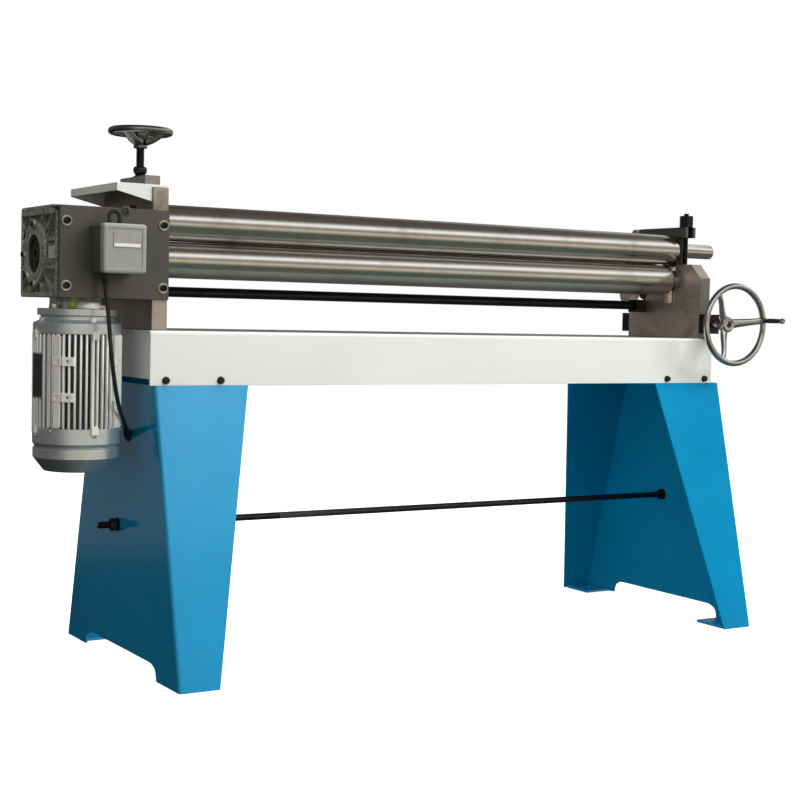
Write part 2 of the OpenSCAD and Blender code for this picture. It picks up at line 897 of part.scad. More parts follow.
module jack_pad() {
    color("gray")
        rod_z(pad_z, pad_z + pad_h, pad_d, frame_mid_l, jack_y);
}

// Round rim, hub and spokes of a handwheel with its axis along Z and its hub at the origin
module handwheel(d, rim_d, hub_d, hub_h, rise, turn, bore) {
    spokes = 3;
    spoke_share = 0.75;
    rim_r = d / 2 - rim_d / 2;
    difference() {
        union() {
            translate([0, 0, rise])
                rotate_extrude($fn = round_fn)
                    translate([rim_r, 0])
                        circle(d = rim_d, $fn = 32);
            translate([0, 0, -hub_h / 2])
                cylinder(h = hub_h, d = hub_d, $fn = round_fn);
            for (k = [0 : spokes - 1])
                rotate([0, 0, turn + k * 360 / spokes])
                    rotate([0, 90 - atan2(rise, rim_r), 0])
                        cylinder(h = norm([rim_r, rise]), d = rim_d * spoke_share, $fn = 32);
        }
        translate([0, 0, -hub_h / 2 - eps])
            cylinder(h = hub_h + 2 * eps, d = bore, $fn = round_fn);
    }
}

module top_handwheel() {
    color("darkgray")
        translate([frame_mid_l, jack_y, jack_top - top_hub_h / 2 - screw_tip])
            handwheel(d = top_wheel_d, rim_d = top_rim_d, hub_d = top_hub_d, hub_h = top_hub_h,
                rise = top_dish, turn = 90, bore = jack_d);
}

// ---- open end ------------------------------------------------------------

module cap_bar() {
    tongue = frame_t - 2 * cap_ear_t - 1;
    shoulder_gap = 4;
    shoulder = cap_pin_y - cap_h / 2 - shoulder_gap;
    color("silver")
        difference() {
            union() {
                box(frame_in_r, frame_out_r, -cap_front, shoulder, post_top, post_top + cap_h);
                box(frame_mid_r - tongue / 2, frame_mid_r + tongue / 2, shoulder - eps, cap_pin_y,
                    post_top, post_top + cap_h);
                rod_x(frame_mid_r - tongue / 2, frame_mid_r + tongue / 2, cap_h, cap_pin_y, cap_pin_z);
            }
            box(frame_mid_r - swing_slot_w / 2, frame_mid_r + swing_slot_w / 2, -cap_front - eps,
                -swing_y + swing_slot_w / 2, post_top - eps, post_top + cap_h + eps);
            rod_x(frame_in_r - eps, frame_out_r + eps, cap_pin_d, cap_pin_y, cap_pin_z);
        }
}

module cap_pins() {
    color("gray")
        union() {
            rod_x(frame_in_r, frame_out_r, cap_pin_d, cap_pin_y, cap_pin_z);
            rod_x(frame_in_r, frame_out_r, swing_pin_d, -swing_y, swing_z);
        }
}

module swing_bolt() {
    eye_wall = 5;
    eye_d = swing_pin_d + 2 * eye_wall;
    color("black")
        difference() {
            union() {
                rod_z(swing_z, swing_top, swing_d, frame_mid_r, -swing_y);
                rod_x(frame_mid_r - swing_d / 2, frame_mid_r + swing_d / 2, eye_d, -swing_y, swing_z);
            }
            rod_x(frame_in_r, frame_out_r, swing_pin_d + 2 * run_gap, -swing_y, swing_z);
        }
}

module swing_nut() {
    color("black")
        difference() {
            hex_z(post_top + cap_h, post_top + cap_h + swing_nut_h, swing_nut_af, frame_mid_r, -swing_y);
            rod_z(post_top, swing_top + eps, swing_d + 2 * run_gap, frame_mid_r, -swing_y);
        }
}

// ---- adjusting gear ------------------------------------------------------

module cross_shaft() {
    end_gap = 3;
    color("black")
        rod_x(frame_in_l + end_gap, frame_in_r - end_gap, link_d, link_y, link_z);
}

module cross_shaft_bearings() {
    bearing_l = 30;
    wall = 5.5;
    cap = 3.5;
    half_w = link_d / 2 + wall;
    color("black")
        for (x = [frame_in_l, frame_in_r - bearing_l])
            difference() {
                box(x, x + bearing_l, link_y - half_w, link_y + half_w,
                    link_z - half_w, link_z + link_d / 2 + cap);
                rod_x(x - eps, x + bearing_l + eps, link_d + 2 * run_gap, link_y, link_z);
            }
}

// Bearing block of the wheel shaft from y0 to y1, bored from b0 to b1
module shaft_block(y0, y1, b0, b1) {
    difference() {
        box(frame_in_r, frame_out_r, y0, y1,
            wheel_shaft_z - wheel_box_h / 2, wheel_shaft_z + wheel_box_h / 2);
        rod_y(b0, b1, wheel_shaft_d + 2 * run_gap, frame_mid_r, wheel_shaft_z);
    }
}

module wheel_shaft_bearings() {
    front_y = -frame_front - wheel_box_d;
    color("black") {
        shaft_block(front_y, -frame_front, front_y - eps, eps - frame_front);
        shaft_block(frame_rear, frame_rear + rear_box_d, frame_rear - eps, wheel_shaft_end + 2);
    }
}

module wheel_shaft() {
    color("gray")
        rod_y(wheel_hub_y - wheel_hub_h / 2, wheel_shaft_end, wheel_shaft_d, frame_mid_r, wheel_shaft_z);
}

module front_handwheel() {
    color("silver")
        difference() {
            union() {
                translate([frame_mid_r, wheel_hub_y, wheel_shaft_z])
                    rotate([90, 0, 0])
                        handwheel(d = wheel_d, rim_d = wheel_rim_d, hub_d = wheel_hub_d, hub_h = wheel_hub_h,
                            rise = wheel_dish, turn = grip_angle, bore = wheel_shaft_d);
                rod_y(wheel_rim_y - boss_h / 2, wheel_rim_y + boss_h / 2, boss_d, grip_x, grip_z);
            }
            rod_y(wheel_rim_y - boss_h, wheel_rim_y + boss_h, grip_pin_d + 2 * run_gap, grip_x, grip_z);
        }
}

module crank_grip() {
    neck_r = 4.5;
    belly_r = 5.5;
    waist_r = 5;
    tip_r = 6.5;
    tip_round = 1.5;
    color("black")
        translate([grip_x, wheel_rim_y - boss_h / 2 - slide_gap, grip_z])
            rotate([90, 0, 0])
                union() {
                    rotate_extrude($fn = round_fn)
                        polygon([[0, 0], [neck_r, 0], [belly_r, grip_l * 0.3], [waist_r, grip_l * 0.75],
                            [tip_r, grip_l * 0.88], [tip_r, grip_l - tip_round], [tip_r - tip_round, grip_l],
                        [0, grip_l]]);
                    translate([0, 0, -boss_h])
                        cylinder(h = boss_h + eps, d = grip_pin_d, $fn = round_fn);
                }
}

left_stand();
right_stand();
foot_plates();
tie_rod();
tie_rod_nuts();
bed();
left_frame();
right_frame();
upper_roll();
upper_roll_journals();
lower_roll();
bending_roll();
upper_bearings();
lower_bearings();
lower_roll_screws();
bending_bearings();
lift_rods();
gear_case();
gear_cover_front();
gear_cover_top();
worm_gearbox();
motor_flange();
motor_top_bell();
motor_body();
motor_low_bell();
motor_fan_cowl();
switch_box();
cable_glands();
switch_cable();
top_bracket();
screw_block();
jack_collar();
jack_screw();
jack_pad();
top_handwheel();
cap_bar();
cap_pins();
swing_bolt();
swing_nut();
cross_shaft();
cross_shaft_bearings();
wheel_shaft_bearings();
wheel_shaft();
front_handwheel();
crank_grip();
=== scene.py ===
"""Dressed model of a motor-driven three-roll plate rolling machine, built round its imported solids.

Shapes are worked out in millimetres and piece() turns them to metres. Finishes and lights are in metres.
"""

import json
import math

import bmesh
import bpy
import numpy as np
from bpy.props import FloatProperty, FloatVectorProperty, IntProperty, PointerProperty
from mathutils import Matrix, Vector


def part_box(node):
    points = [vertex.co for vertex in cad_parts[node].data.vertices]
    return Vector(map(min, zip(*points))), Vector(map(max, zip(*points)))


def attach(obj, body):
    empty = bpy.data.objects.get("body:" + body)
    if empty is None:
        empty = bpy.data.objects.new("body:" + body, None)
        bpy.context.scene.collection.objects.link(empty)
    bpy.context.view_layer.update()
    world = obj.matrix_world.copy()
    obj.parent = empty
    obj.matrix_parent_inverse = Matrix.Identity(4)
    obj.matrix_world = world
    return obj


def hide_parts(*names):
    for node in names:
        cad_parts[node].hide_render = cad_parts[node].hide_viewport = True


bl_info = {
    "name": "Plate rolling machine",
    "version": (1, 0, 0),
    "blender": (4, 5, 0),
    "location": "3D View > Sidebar > Plate Rolls",
    "description": "Dresses the packed solids of a motor-driven slip roll with its surfaces and finishes",
    "category": "Object",
}

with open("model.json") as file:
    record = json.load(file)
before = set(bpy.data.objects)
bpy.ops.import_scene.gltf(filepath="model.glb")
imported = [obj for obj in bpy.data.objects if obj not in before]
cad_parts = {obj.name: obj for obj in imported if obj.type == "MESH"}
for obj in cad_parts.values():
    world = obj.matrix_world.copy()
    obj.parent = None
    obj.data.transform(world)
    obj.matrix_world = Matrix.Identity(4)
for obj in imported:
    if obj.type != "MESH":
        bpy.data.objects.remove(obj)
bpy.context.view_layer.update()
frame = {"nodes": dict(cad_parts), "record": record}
MM = 0.001
BODY = {node: body for body, nodes in frame["record"]["behaviour"]["bodies"].items() for node in nodes}


def low(node):
    """A CAD node's lowest corner at rest, in millimetres."""
    return np.array(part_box(node)[0]) / MM


def high(node):
    """Its highest corner."""
    return np.array(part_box(node)[1]) / MM


def ends(node):
    return low(node), high(node)


def tip(node, side):
    """Where a node ends along x: on the left for side -1, on the right for side 1."""
    return ends(node)[side > 0][0]


def middle(node):
    return (low(node) + high(node)) / 2


# ---- sizes and colours a user may change ----------------------------------


def length(name, description, default, least, most):
    """A length setting, given in millimetres and kept in metres."""
    return FloatProperty(name=name, description=description, default=default * MM, min=least * MM,
                         max=most * MM, unit="LENGTH")


class RollMachineSizes(bpy.types.PropertyGroup):
    """Sizes of the details that the solids leave to the dressed model"""

    edge: length("Edge round", "Round along machined and cast edges", 1.2, 0.2, 4)
    fold: length("Fold radius", "Outer radius of the folded sheet edges", 7, 3, 12)
    fins: IntProperty(name="Motor fins", description="Cooling fins round the motor body",
                      default=48, min=24, max=60)
    pitch: length("Screw pitch", "Pitch of the jack screw's thread", 2, 1, 4)
    bed_bolt: length("Bed bolt", "Head diameter of the bolts through the bed skirts", 13, 8, 20)


def tone(name, description, value):
    """A colour setting with three parts from 0 to 1."""
    return FloatVectorProperty(name=name, description=description, default=value,
                               subtype="COLOR", size=3, min=0, max=1)


class RollMachineColours(bpy.types.PropertyGroup):
    """Base colours of the finishes"""

    stand: tone("Stand paint", "Blue gloss of the two stands", (0.001, 0.29, 0.575))
    bed: tone("Bed paint", "White gloss of the bed and the top bracket", (0.755, 0.785, 0.785))
    cover: tone("Cover paint", "Dark grey of the gear case", (0.064, 0.061, 0.059))
    plate: tone("Frame plate", "Oiled ground plate of the side frames", (0.25, 0.215, 0.19))
    motor: tone("Motor casting", "Silver-grey of the motor", (0.64, 0.70, 0.74))
    switch: tone("Switch case", "Grey of the switch box cover", (0.31, 0.33, 0.31))


def power(name, description, value):
    """A light's power setting in watts."""
    return FloatProperty(name=name, description=description, default=value, min=0, max=2000, unit="POWER")


class RollMachineStudio(bpy.types.PropertyGroup):
    """Light and camera"""

    key: power("Key light", "Power of the large light in front", 88)
    top: power("Top light", "Power of the light overhead", 90)
    low: power("Low light", "Power of the light between the stands", 2.2)
    lens: FloatProperty(name="Lens", description="Focal length on a 36 mm sensor", default=69.2547,
                        min=20, max=200)


# ---- surfaces as whole arrays ----------------------------------------------

AXES = {"x": (1, 2, 0), "y": (2, 0, 1), "z": (0, 1, 2)}
QUARTER = np.linspace(0, np.pi / 2, 9)
FORWARD = np.array([(1, 0, 0), (0, 0, -1), (0, 1, 0)])  # lays a piece's z towards the front
HEAD_SIDES, PAD_SIDES, CORNER_STEPS = 48, 96, 6


class Shape:
    """A surface: its points, the corners of its faces one after the other, each face's corner count."""

    def __init__(self, points, corners, counts):
        self.points = np.asarray(points, float).reshape(-1, 3)
        self.corners = np.asarray(corners, int)
        self.counts = np.asarray(counts, int)

    def moved(self, by=(0, 0, 0), turn=None):
        """The shape turned about the origin, then moved."""
        points = self.points if turn is None else self.points @ np.asarray(turn, float).T
        return Shape(points + np.asarray(by, float), self.corners, self.counts)

    def at_each(self, places):
        """One copy at each place: the points plus the place, the corners plus the copy's first index."""
        places = np.asarray(places, float).reshape(-1, 1, 3)
        starts = np.arange(len(places))[:, None] * len(self.points)
        return Shape(self.points[None] + places, (self.corners[None] + starts).ravel(),
                     np.tile(self.counts, len(places)))


def joined(*shapes):
    """Several shapes as one: each one's corners are counted on from the points before it."""
    starts = np.cumsum([0] + [len(s.points) for s in shapes[:-1]])
    return Shape(np.concatenate([s.points for s in shapes]),
                 np.concatenate([s.corners + n for s, n in zip(shapes, starts)]),
                 np.concatenate([s.counts for s in shapes]))


def unit(v):
    v = np.asarray(v, float)
    return v / np.linalg.norm(v, axis=-1, keepdims=True)


def circle(count):
    """Angles of a full turn in even steps."""
    return np.arange(count) * 2 * np.pi / count


def skin(points, wrap=True, loop=False, caps=True):
    """Four-sided faces over a grid of points, rows by columns; wrap joins the last column to the first,
    loop the last row to the first, and caps close the first and the last row with one face each."""
    rows, cols = points.shape[:2]
    r = np.arange(rows if loop else rows - 1)[:, None]
    c = np.arange(cols if wrap else cols - 1)[None, :]
    s, n = (r + 1) % rows, (c + 1) % cols
    quads = np.stack(np.broadcast_arrays(r * cols + c, r * cols + n, s * cols + n, s * cols + c), -1)
    corners, counts = [quads.ravel()], [np.full(quads.size // 4, 4)]
    if caps and wrap and not loop:
        corners += [np.arange(cols)[::-1], (rows - 1) * cols + np.arange(cols)]
        counts += [np.array([cols, cols])]
    return Shape(points, np.concatenate(corners), np.concatenate(counts))


def place(u, v, w, axis):
    """Points from two coordinates across an axis and one along it, in right-handed order."""
    out = np.zeros(np.broadcast_shapes(np.shape(u), np.shape(v), np.shape(w)) + (3,))
    a, b, c = AXES[axis]
    out[..., a], out[..., b], out[..., c] = u, v, w
    return out


def prism(outline, start, end, axis="z"):
    """A closed outline, counter-clockwise seen against the axis, carried straight from start to end."""
    outline = np.asarray(outline, float)
    return skin(place(outline[None, :, 0], outline[None, :, 1], np.array([[start], [end]]), axis))


def block(first, second):
    """A box between two opposite corners."""
    (x0, y0, z0), (x1, y1, z1) = np.minimum(first, second), np.maximum(first, second)
    return prism([(x0, y0), (x1, y0), (x1, y1), (x0, y1)], z0, z1)


def polar(radii, heights, at=(0, 0, 0), axis="z", loop=False, caps=True):
    """Rings about an axis: radius as a function of row and angle, height as a function of row.
    A point is at + height along the axis + radius times cosine and sine of its angle across it."""
    radii = np.atleast_2d(radii)
    angles = circle(radii.shape[1])
    heights = np.asarray(heights, float)[:, None]
    return skin(place(radii * np.cos(angles), radii * np.sin(angles), heights + 0 * radii, axis)
                + np.asarray(at, float), loop=loop, caps=caps)


def lathe(profile, at=(0, 0, 0), axis="z", around=96, loop=False):
    """A profile of radius and height, turned about an axis; loop closes it to a ring."""
    profile = np.asarray(profile, float)
    return polar(np.repeat(profile[:, :1], around, 1), profile[:, 1], at, axis, loop, not loop)


def hexagon(across):
    """Radius of a hexagon as a function of angle: half its width over the cosine of the angle
    to the nearest flat's middle."""
    return across / 2 / np.cos((circle(HEAD_SIDES) + np.pi / 6) % (np.pi / 3) - np.pi / 6)


def head(rows, steps, height, at, axis, way, loop=False):
    """Rows of radii at shares of a height, turned the other way round for way -1."""
    if way < 0:
        rows, steps = rows[::-1], [-s for s in steps[::-1]]
    return polar(np.array(rows), np.array(steps) * height, at, axis, loop=loop, caps=not loop)


def hex_head(across, height, at=(0, 0, 0), axis="z", way=1, bore=0.0):
    """A hexagon with its corners cut back to a circle at both faces; with a bore it is a nut."""
    flat, cut, inner = hexagon(across), np.full(HEAD_SIDES, across * 0.475), np.full(HEAD_SIDES, bore / 2)
    rows, steps = [np.minimum(flat, cut * 1.04), flat, flat, np.minimum(flat, cut)], [0, 0.1, 0.85, 1]
    if bore:
        rows, steps = rows + [inner * 1.12, inner, inner], steps + [1, 0.93, 0]
    return head(rows, steps, height, at, axis, way, bool(bore))


def socket_head(diameter, height, socket, at=(0, 0, 0), axis="z", way=1):
    """A round head with a small round at its edge and a hexagon sunk into its face."""
    rim, key = np.full(HEAD_SIDES, diameter / 2), hexagon(socket)
    rows = [rim, rim, rim * 0.97, rim * 0.9, key * 1.03, key, key]
    return head(rows, [0, 0.86, 0.95, 1, 1, 0.95, 0.42], height, at, axis, way)


def washer(outer, inner, height, at=(0, 0, 0), axis="z"):
    """A flat ring with small rounds at its outer edge."""
    c, r = height * 0.25, outer / 2
    return lathe([(inner / 2, 0), (r - c, 0), (r, c), (r, height - c), (r - c, height), (inner / 2, height)],
                 at, axis, 64, loop=True)


THREAD_DEPTH, THREAD_ROOT = 0.55, 0.6


def thread(diameter, pitch, start, end, at=(0, 0, 0), axis="z"):
    """A screw thread: the radius falls from the crest by a share of the pitch, as a trapezium wave of
    height over pitch less angle over a full turn, and runs out to plain ends."""
    rows, cols = int((end - start) / pitch * 10) + 1, 40
    z = np.linspace(start, end, rows)[:, None]
    phase = (z / pitch - np.arange(cols)[None, :] / cols) % 1
    wave = np.clip(np.abs(phase - 0.5) * 4 - 0.5, 0, 1)
    runout = np.clip(np.minimum(z - start, end - z) / pitch, 0, 1)
    radii = diameter / 2 - THREAD_DEPTH * pitch * wave * runout
    lead = np.full((1, cols), diameter / 2 - THREAD_ROOT * pitch)
    return polar(np.vstack([lead, radii, lead]),
                 np.concatenate([[start - 0.3 * pitch], z[:, 0], [end + 0.3 * pitch]]), at, axis)


def rounded(outline, radius):
    """An outline with its corners rounded: each corner becomes an arc tangent to both its sides."""
    p = np.asarray(outline, float)
    radius = np.full(len(p), radius + 1e-4)
    a, b = unit(np.roll(p, 1, 0) - p), unit(np.roll(p, -1, 0) - p)
    half = np.arccos(np.clip((a * b).sum(-1), -1, 1)) / 2
    centre = p + unit(a + b) * (radius / np.sin(half))[:, None]
    first, last = (p + side * (radius / np.tan(half))[:, None] for side in (a, b))
    t = np.linspace(0, 1, CORNER_STEPS + 1)[None, :, None]
    turn = (np.pi - 2 * half)[:, None, None]
    mix = (np.sin((1 - t) * turn) * (first - centre)[:, None]
           + np.sin(t * turn) * (last - centre)[:, None]) / np.sin(turn)
    return (centre[:, None] + mix).reshape(-1, 2)


def rect(u0, u1, v0, v1, radius):
    """A rectangle's outline, counter-clockwise, with round corners."""
    return rounded([(u0, v0), (u1, v0), (u1, v1), (u0, v1)], radius)


def drilled(width, height, thick, hole, sunk=0.8):
    """A rectangular pad with a blind hole in its face. Over the angle its outer radius is the nearer of
    half the width over the cosine and half the height over the sine; the hole's is constant."""
    half_step = np.pi / PAD_SIDES
    angle = circle(PAD_SIDES) + half_step
    edge = np.minimum(width / 2 / np.abs(np.cos(angle)), height / 2 / np.abs(np.sin(angle)))
    inner = np.full(PAD_SIDES, hole / 2)
    rows = np.array([edge, edge, edge * 0.96, inner * 1.15, inner, inner])
    c, s = math.cos(half_step), math.sin(half_step)
    return polar(rows, np.array([0, 0.88, 1, 1, 0.93, 1 - sunk]) * thick).moved(
        turn=[(c, -s, 0), (s, c, 0), (0, 0, 1)])


def outward(degrees):
    """Turn that lays a piece's own x along the rim, its y upwards and its z away from an upright axis."""
    c, s = math.cos(math.radians(degrees)), math.sin(math.radians(degrees))
    return np.array([(-s, 0, c), (c, 0, s), (0, 1, 0)])


def on_rim(shape, centre, radius, degrees, z):
    """A piece set on a cylinder about an upright axis, facing outwards."""
    out = outward(degrees)
    return shape.moved(np.asarray(centre) * (1, 1, 0) + out[:, 2] * radius + (0, 0, z), out)


def ring_of(centre, radius, degrees, z):
    """Places at several angles round an upright axis."""
    a = np.radians(degrees)
    return np.stack([centre[0] + radius * np.cos(a), centre[1] + radius * np.sin(a), z + a * 0], -1)


def pad(width, height, radius, deep):
    """A plate with round corners, centred across and standing on its lower edge, as deep as given."""
    return prism(rect(-width / 2, width / 2, 0, height, radius), 0, deep)


def sheet_metal(outer, inner):
    """A closed sheet between two grids of points, its outer and its inner face: the two skins, and a
    strip of faces along each of their four borders."""
    rows, cols = outer.shape[:2]
    grid = np.arange(rows * cols).reshape(rows, cols)
    other = grid + rows * cols
    strips = [(grid[0], other[0]), (other[-1], grid[-1]),
              (other[:, 0], grid[:, 0]), (grid[:, -1], other[:, -1])]
    quads = [np.stack([grid[:-1, :-1], grid[:-1, 1:], grid[1:, 1:], grid[1:, :-1]], -1).reshape(-1, 4),
             np.stack([other[:-1, :-1], other[1:, :-1], other[1:, 1:], other[:-1, 1:]], -1).reshape(-1, 4)]
    quads += [np.stack([b[:-1], b[1:], a[1:], a[:-1]], -1) for a, b in strips]
    quads = np.concatenate(quads)
    return Shape(np.concatenate([outer.reshape(-1, 3), inner.reshape(-1, 3)]),
                 quads.ravel(), np.full(len(quads), 4))


def tube(path, radii, flat=1.0, hint=(0.3, 1, 0), around=32):
    """An elliptical section carried along a path: each ring lies across the path's direction there,
    which is the difference of its neighbours, and flat scales it along the second side."""
    path = np.asarray(path, float)
    along = unit(np.gradient(path, axis=0))
    side = unit(np.cross(along, np.asarray(hint, float)))
    up = np.cross(along, side)
    angle = circle(around)[None, :, None]
    radii = np.broadcast_to(np.asarray(radii, float), len(path))[:, None, None]
    return skin(path[:, None] + radii * (side[:, None] * np.cos(angle) + up[:, None] * np.sin(angle) * flat))


# ---- making pieces -----------------------------------------------------------

FINISHES = {}


def shown(name, mesh, finish, body, replaces, edge, steps, sharp):
    """A mesh as an object: its material, smooth shading with sharp edges past an angle, a round of a
    width in millimetres along its edges, its body and the nodes it stands for."""
    obj = bpy.data.objects.new(name, mesh)
    mesh.materials.append(FINISHES[finish])
    mesh.polygons.foreach_set("use_smooth", np.ones(len(mesh.polygons), bool))
    mesh.set_sharp_from_angle(angle=math.radians(sharp))
    bpy.context.scene.collection.objects.link(obj)
    if edge:
        bevel = obj.modifiers.new("edge round", "BEVEL")
        bevel.width, bevel.segments, bevel.angle_limit = edge * MM, steps, math.radians(38)
        bevel.limit_method, bevel.use_clamp_overlap, bevel.harden_normals = "ANGLE", False, True
    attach(obj, body)
    if replaces:
        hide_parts(*replaces)
    return obj


def piece(name, shape, finish, slot=None, *replaces, body=None, edge=0.0, steps=3, sharp=32):
    """A new piece from a shape in millimetres. It rides with the node it stands for, or on the base."""
    mesh = bpy.data.meshes.new(name)
    mesh.vertices.add(len(shape.points))
    mesh.vertices.foreach_set("co", (shape.points * MM).astype(np.float32).ravel())
    mesh.loops.add(len(shape.corners))
    mesh.loops.foreach_set("vertex_index", shape.corners.astype(np.int32))
    mesh.polygons.add(len(shape.counts))
    starts = np.concatenate([[0], np.cumsum(shape.counts)[:-1]])
    mesh.polygons.foreach_set("loop_start", starts.astype(np.int32))
    mesh.update(calc_edges=True)
    body = body or (BODY[replaces[0]] if replaces else "base")
    return shown(name, mesh, finish, body, replaces, edge, steps, sharp)


def dressed(node, finish, edge=None):
    """A copy of a CAD node's mesh with its doubles merged and its flat faces joined, so that a small
    round, of the user's size or its own, can run along its edges. It stands for the node."""
    edge = edge or bpy.context.scene.roll_sizes.edge / MM
    mesh = bpy.data.meshes.new(node + "_dressed")
    work = bmesh.new()
    work.from_mesh(frame["nodes"][node].data)
    bmesh.ops.remove_doubles(work, verts=work.verts, dist=2e-6)
    bmesh.ops.dissolve_limit(work, angle_limit=math.radians(0.6), verts=work.verts, edges=work.edges)
    work.to_mesh(mesh)
    work.free()
    return shown(node + "_dressed", mesh, finish, BODY[node], [node], edge, 3, 32)


# ---- finishes ------------------------------------------------------------------


class Value:
    """A number that varies over a surface. Sums written with it add Math nodes."""

    def __init__(self, finish, socket):
        self.finish, self.socket = finish, socket

    def __add__(self, other):
        return self.finish.maths("ADD", self, other)

    def __sub__(self, other):
        return self.finish.maths("SUBTRACT", self, other)

    def __rsub__(self, other):
        return self.finish.maths("SUBTRACT", other, self)

    def __mul__(self, other):
        return self.finish.maths("MULTIPLY", self, other)

    def __pow__(self, other):
        return self.finish.maths("POWER", self, other)


class Finish:
    """A material's node tree, kept by name in FINISHES. node() adds any node; the other methods are the
    patterns used here."""

    def __init__(self, name, title):
        FINISHES[name] = material = bpy.data.materials.new(title)
        material.use_nodes = True
        self.tree = material.node_tree
        self.shader = self.tree.nodes["Principled BSDF"]
        self.place = self.node("TexCoord", out="Object")

    def node(self, kind, inputs=None, out=0, stops=None, **settings):
        """Adds a node: its settings first, then a ramp's stops, then values or links to its sockets."""
        made = self.tree.nodes.new("ShaderNode" + kind)
        for key, value in settings.items():
            setattr(made, key, value)
        if stops:
            ramp = made.color_ramp.elements
            ramp.remove(ramp[1])
            ramp[0].position, ramp[0].color = stops[0][0], (*stops[0][1], 1)
            for position, colour in stops[1:]:
                ramp.new(position).color = (*colour, 1)
        for key, value in (inputs or {}).items():
            self.link(value, made.inputs[key])
        return Value(self, made.outputs[out])

    def link(self, value, socket):
        if isinstance(value, Value):
            self.tree.links.new(value.socket, socket)
        elif socket.type == "RGBA" and len(value) == 3:
            socket.default_value = (*value, 1)
        else:
            socket.default_value = value

    def set(self, **inputs):
        """Sets or links the shader's sockets; underscores stand for spaces."""
        for key, value in inputs.items():
            self.link(value, self.shader.inputs[key.replace("_", " ")])

    def maths(self, operation, first, second):
        return self.node("Math", {0: first, 1: second}, operation=operation)

    def along(self, k):
        """One of the three coordinates of the place."""
        return self.node("SeparateXYZ", {0: self.place}, out=k)

    def noise(self, scale, detail=3.0, rough=0.55, stretch=None):
        where = self.node("Mapping", {"Vector": self.place, "Scale": stretch}) if stretch else self.place
        return self.node("TexNoise", {"Vector": where, "Scale": scale, "Detail": detail, "Roughness": rough})

    def between(self, value, lo, hi):
        """0 below lo, 1 above hi, smooth between them."""
        return self.node("MapRange", {"Value": value, "From Min": lo, "From Max": hi},
                         interpolation_type="SMOOTHSTEP")

    def mix(self, factor, first, second):
        return self.node("Mix", {0: factor, 6: first, 7: second}, out=2, data_type="RGBA")

    def drift(self, value, lo, hi, colour, less, more):
        """A colour that goes from a darker to a lighter share of itself as a value goes from lo to hi."""
        return self.mix(self.between(value, lo, hi), shade(colour, less), shade(colour, more))

    def bump(self, height, strength, distance):
        return self.node("Bump", {"Height": height, "Strength": strength, "Distance": distance})


def shade(colour, factor):
    return tuple(min(1.0, c * factor) for c in colour)


def paint(name, title, colour, rough, coat, peel, grain=320.0, spread=0.06, dust=0.0, gloss=0.5, top=None):
    """Gloss paint: slow drift of tone, orange-peel bump, fine change of gloss, some dust low down. top gives
    the height of the upper face and the dark colour painted on it: painted shade, so the rolls mirror it dim."""
    f = Finish(name, title)
    base = f.drift(f.noise(3.5, 4), 0.3, 0.7, colour, 1 - spread, 1 + spread)
    if dust:
        low_down = (1 - f.between(f.along(2), 0.0, 0.12)) * f.between(f.noise(38, 6, 0.7), 0.42, 0.75) * dust
        base = f.mix(low_down, base, (0.30, 0.29, 0.27))
    if top:
        height, own = top
        # Painted shade: the upper face is coloured dark grey, with darker blotches.
        bare = f.mix(f.between(f.noise(9, 6, 0.68), 0.35, 0.75), own, shade(own, 0.78))
        base = f.mix(f.between(f.along(2), (height - 0.6) * MM, (height - 0.2) * MM), base, bare)
    f.set(Base_Color=base, Roughness=f.noise(14, 5, 0.6) * 0.10 + (rough - 0.05), Coat_Weight=coat,
          Coat_Roughness=0.05, Specular_IOR_Level=gloss, Normal=f.bump(f.noise(grain, 2, 0.5), peel, 0.0004))


def ground(name, title, colour, stretch, rough=0.36, stain=0.5, front=None):
    """Ground steel: fine lines along one way, blotches of oil, slow change of tone. front gives the place
    along y of the front face and a tone painted on it apart from the sides: painted light and shade."""
    f = Finish(name, title)
    lines, blotch = f.noise(900, 2, 0.6, stretch), f.noise(16, 7, 0.68)
    oiled = tuple(0.4 * c + 0.6 * o for c, o in zip(colour, (0.10, 0.06, 0.035)))
    base = f.drift(lines, 0.25, 0.75, colour, 0.84, 1.12)
    base = f.mix(f.between(blotch, 0.45, 0.72) * stain, base, oiled)
    base = f.mix(f.between(f.noise(5.5, 3), 0.5, 0.8) * 0.25, base, shade(colour, 1.25))
    # Painted light and shade: the front face gets a tone of its own, with blotches, apart from the sides.
    if front:
        face, own = front
        edge = f.mix(f.between(blotch, 0.38, 0.7), own, shade(own, 0.45))
        base = f.mix(1 - f.between(f.along(1), (face + 0.4) * MM, (face + 1.6) * MM), base, edge)
    f.set(Base_Color=base, Metallic=0.85, Roughness=lines * 0.16 + blotch * 0.12 + (rough - 0.14),
          Normal=f.bump(lines, 0.18, 0.0003))


def turned(name, title, colour, rough=0.2, line=1400.0):
    """Steel turned about x: rings, as noise that hardly changes across the axis, with a faint oil tint."""
    f = Finish(name, title)
    across = (1.0, 0.012, 0.012)
    rings, wide, smear = f.noise(line, 2, 0.6, across), f.noise(46, 4, 0.6, across), f.noise(11, 5, 0.65)
    base = f.mix(rings * 0.6 + wide * 0.4, shade(colour, 0.808), shade(colour, 1.12))
    base = f.mix(f.between(smear, 0.48, 0.8) * 0.5, base, (0.30, 0.27, 0.22))
    f.set(Base_Color=base, Metallic=1.0, Roughness=rings * 0.10 + smear * 0.10 + (rough - 0.1),
          Normal=f.bump(rings, 0.12, 0.0002))


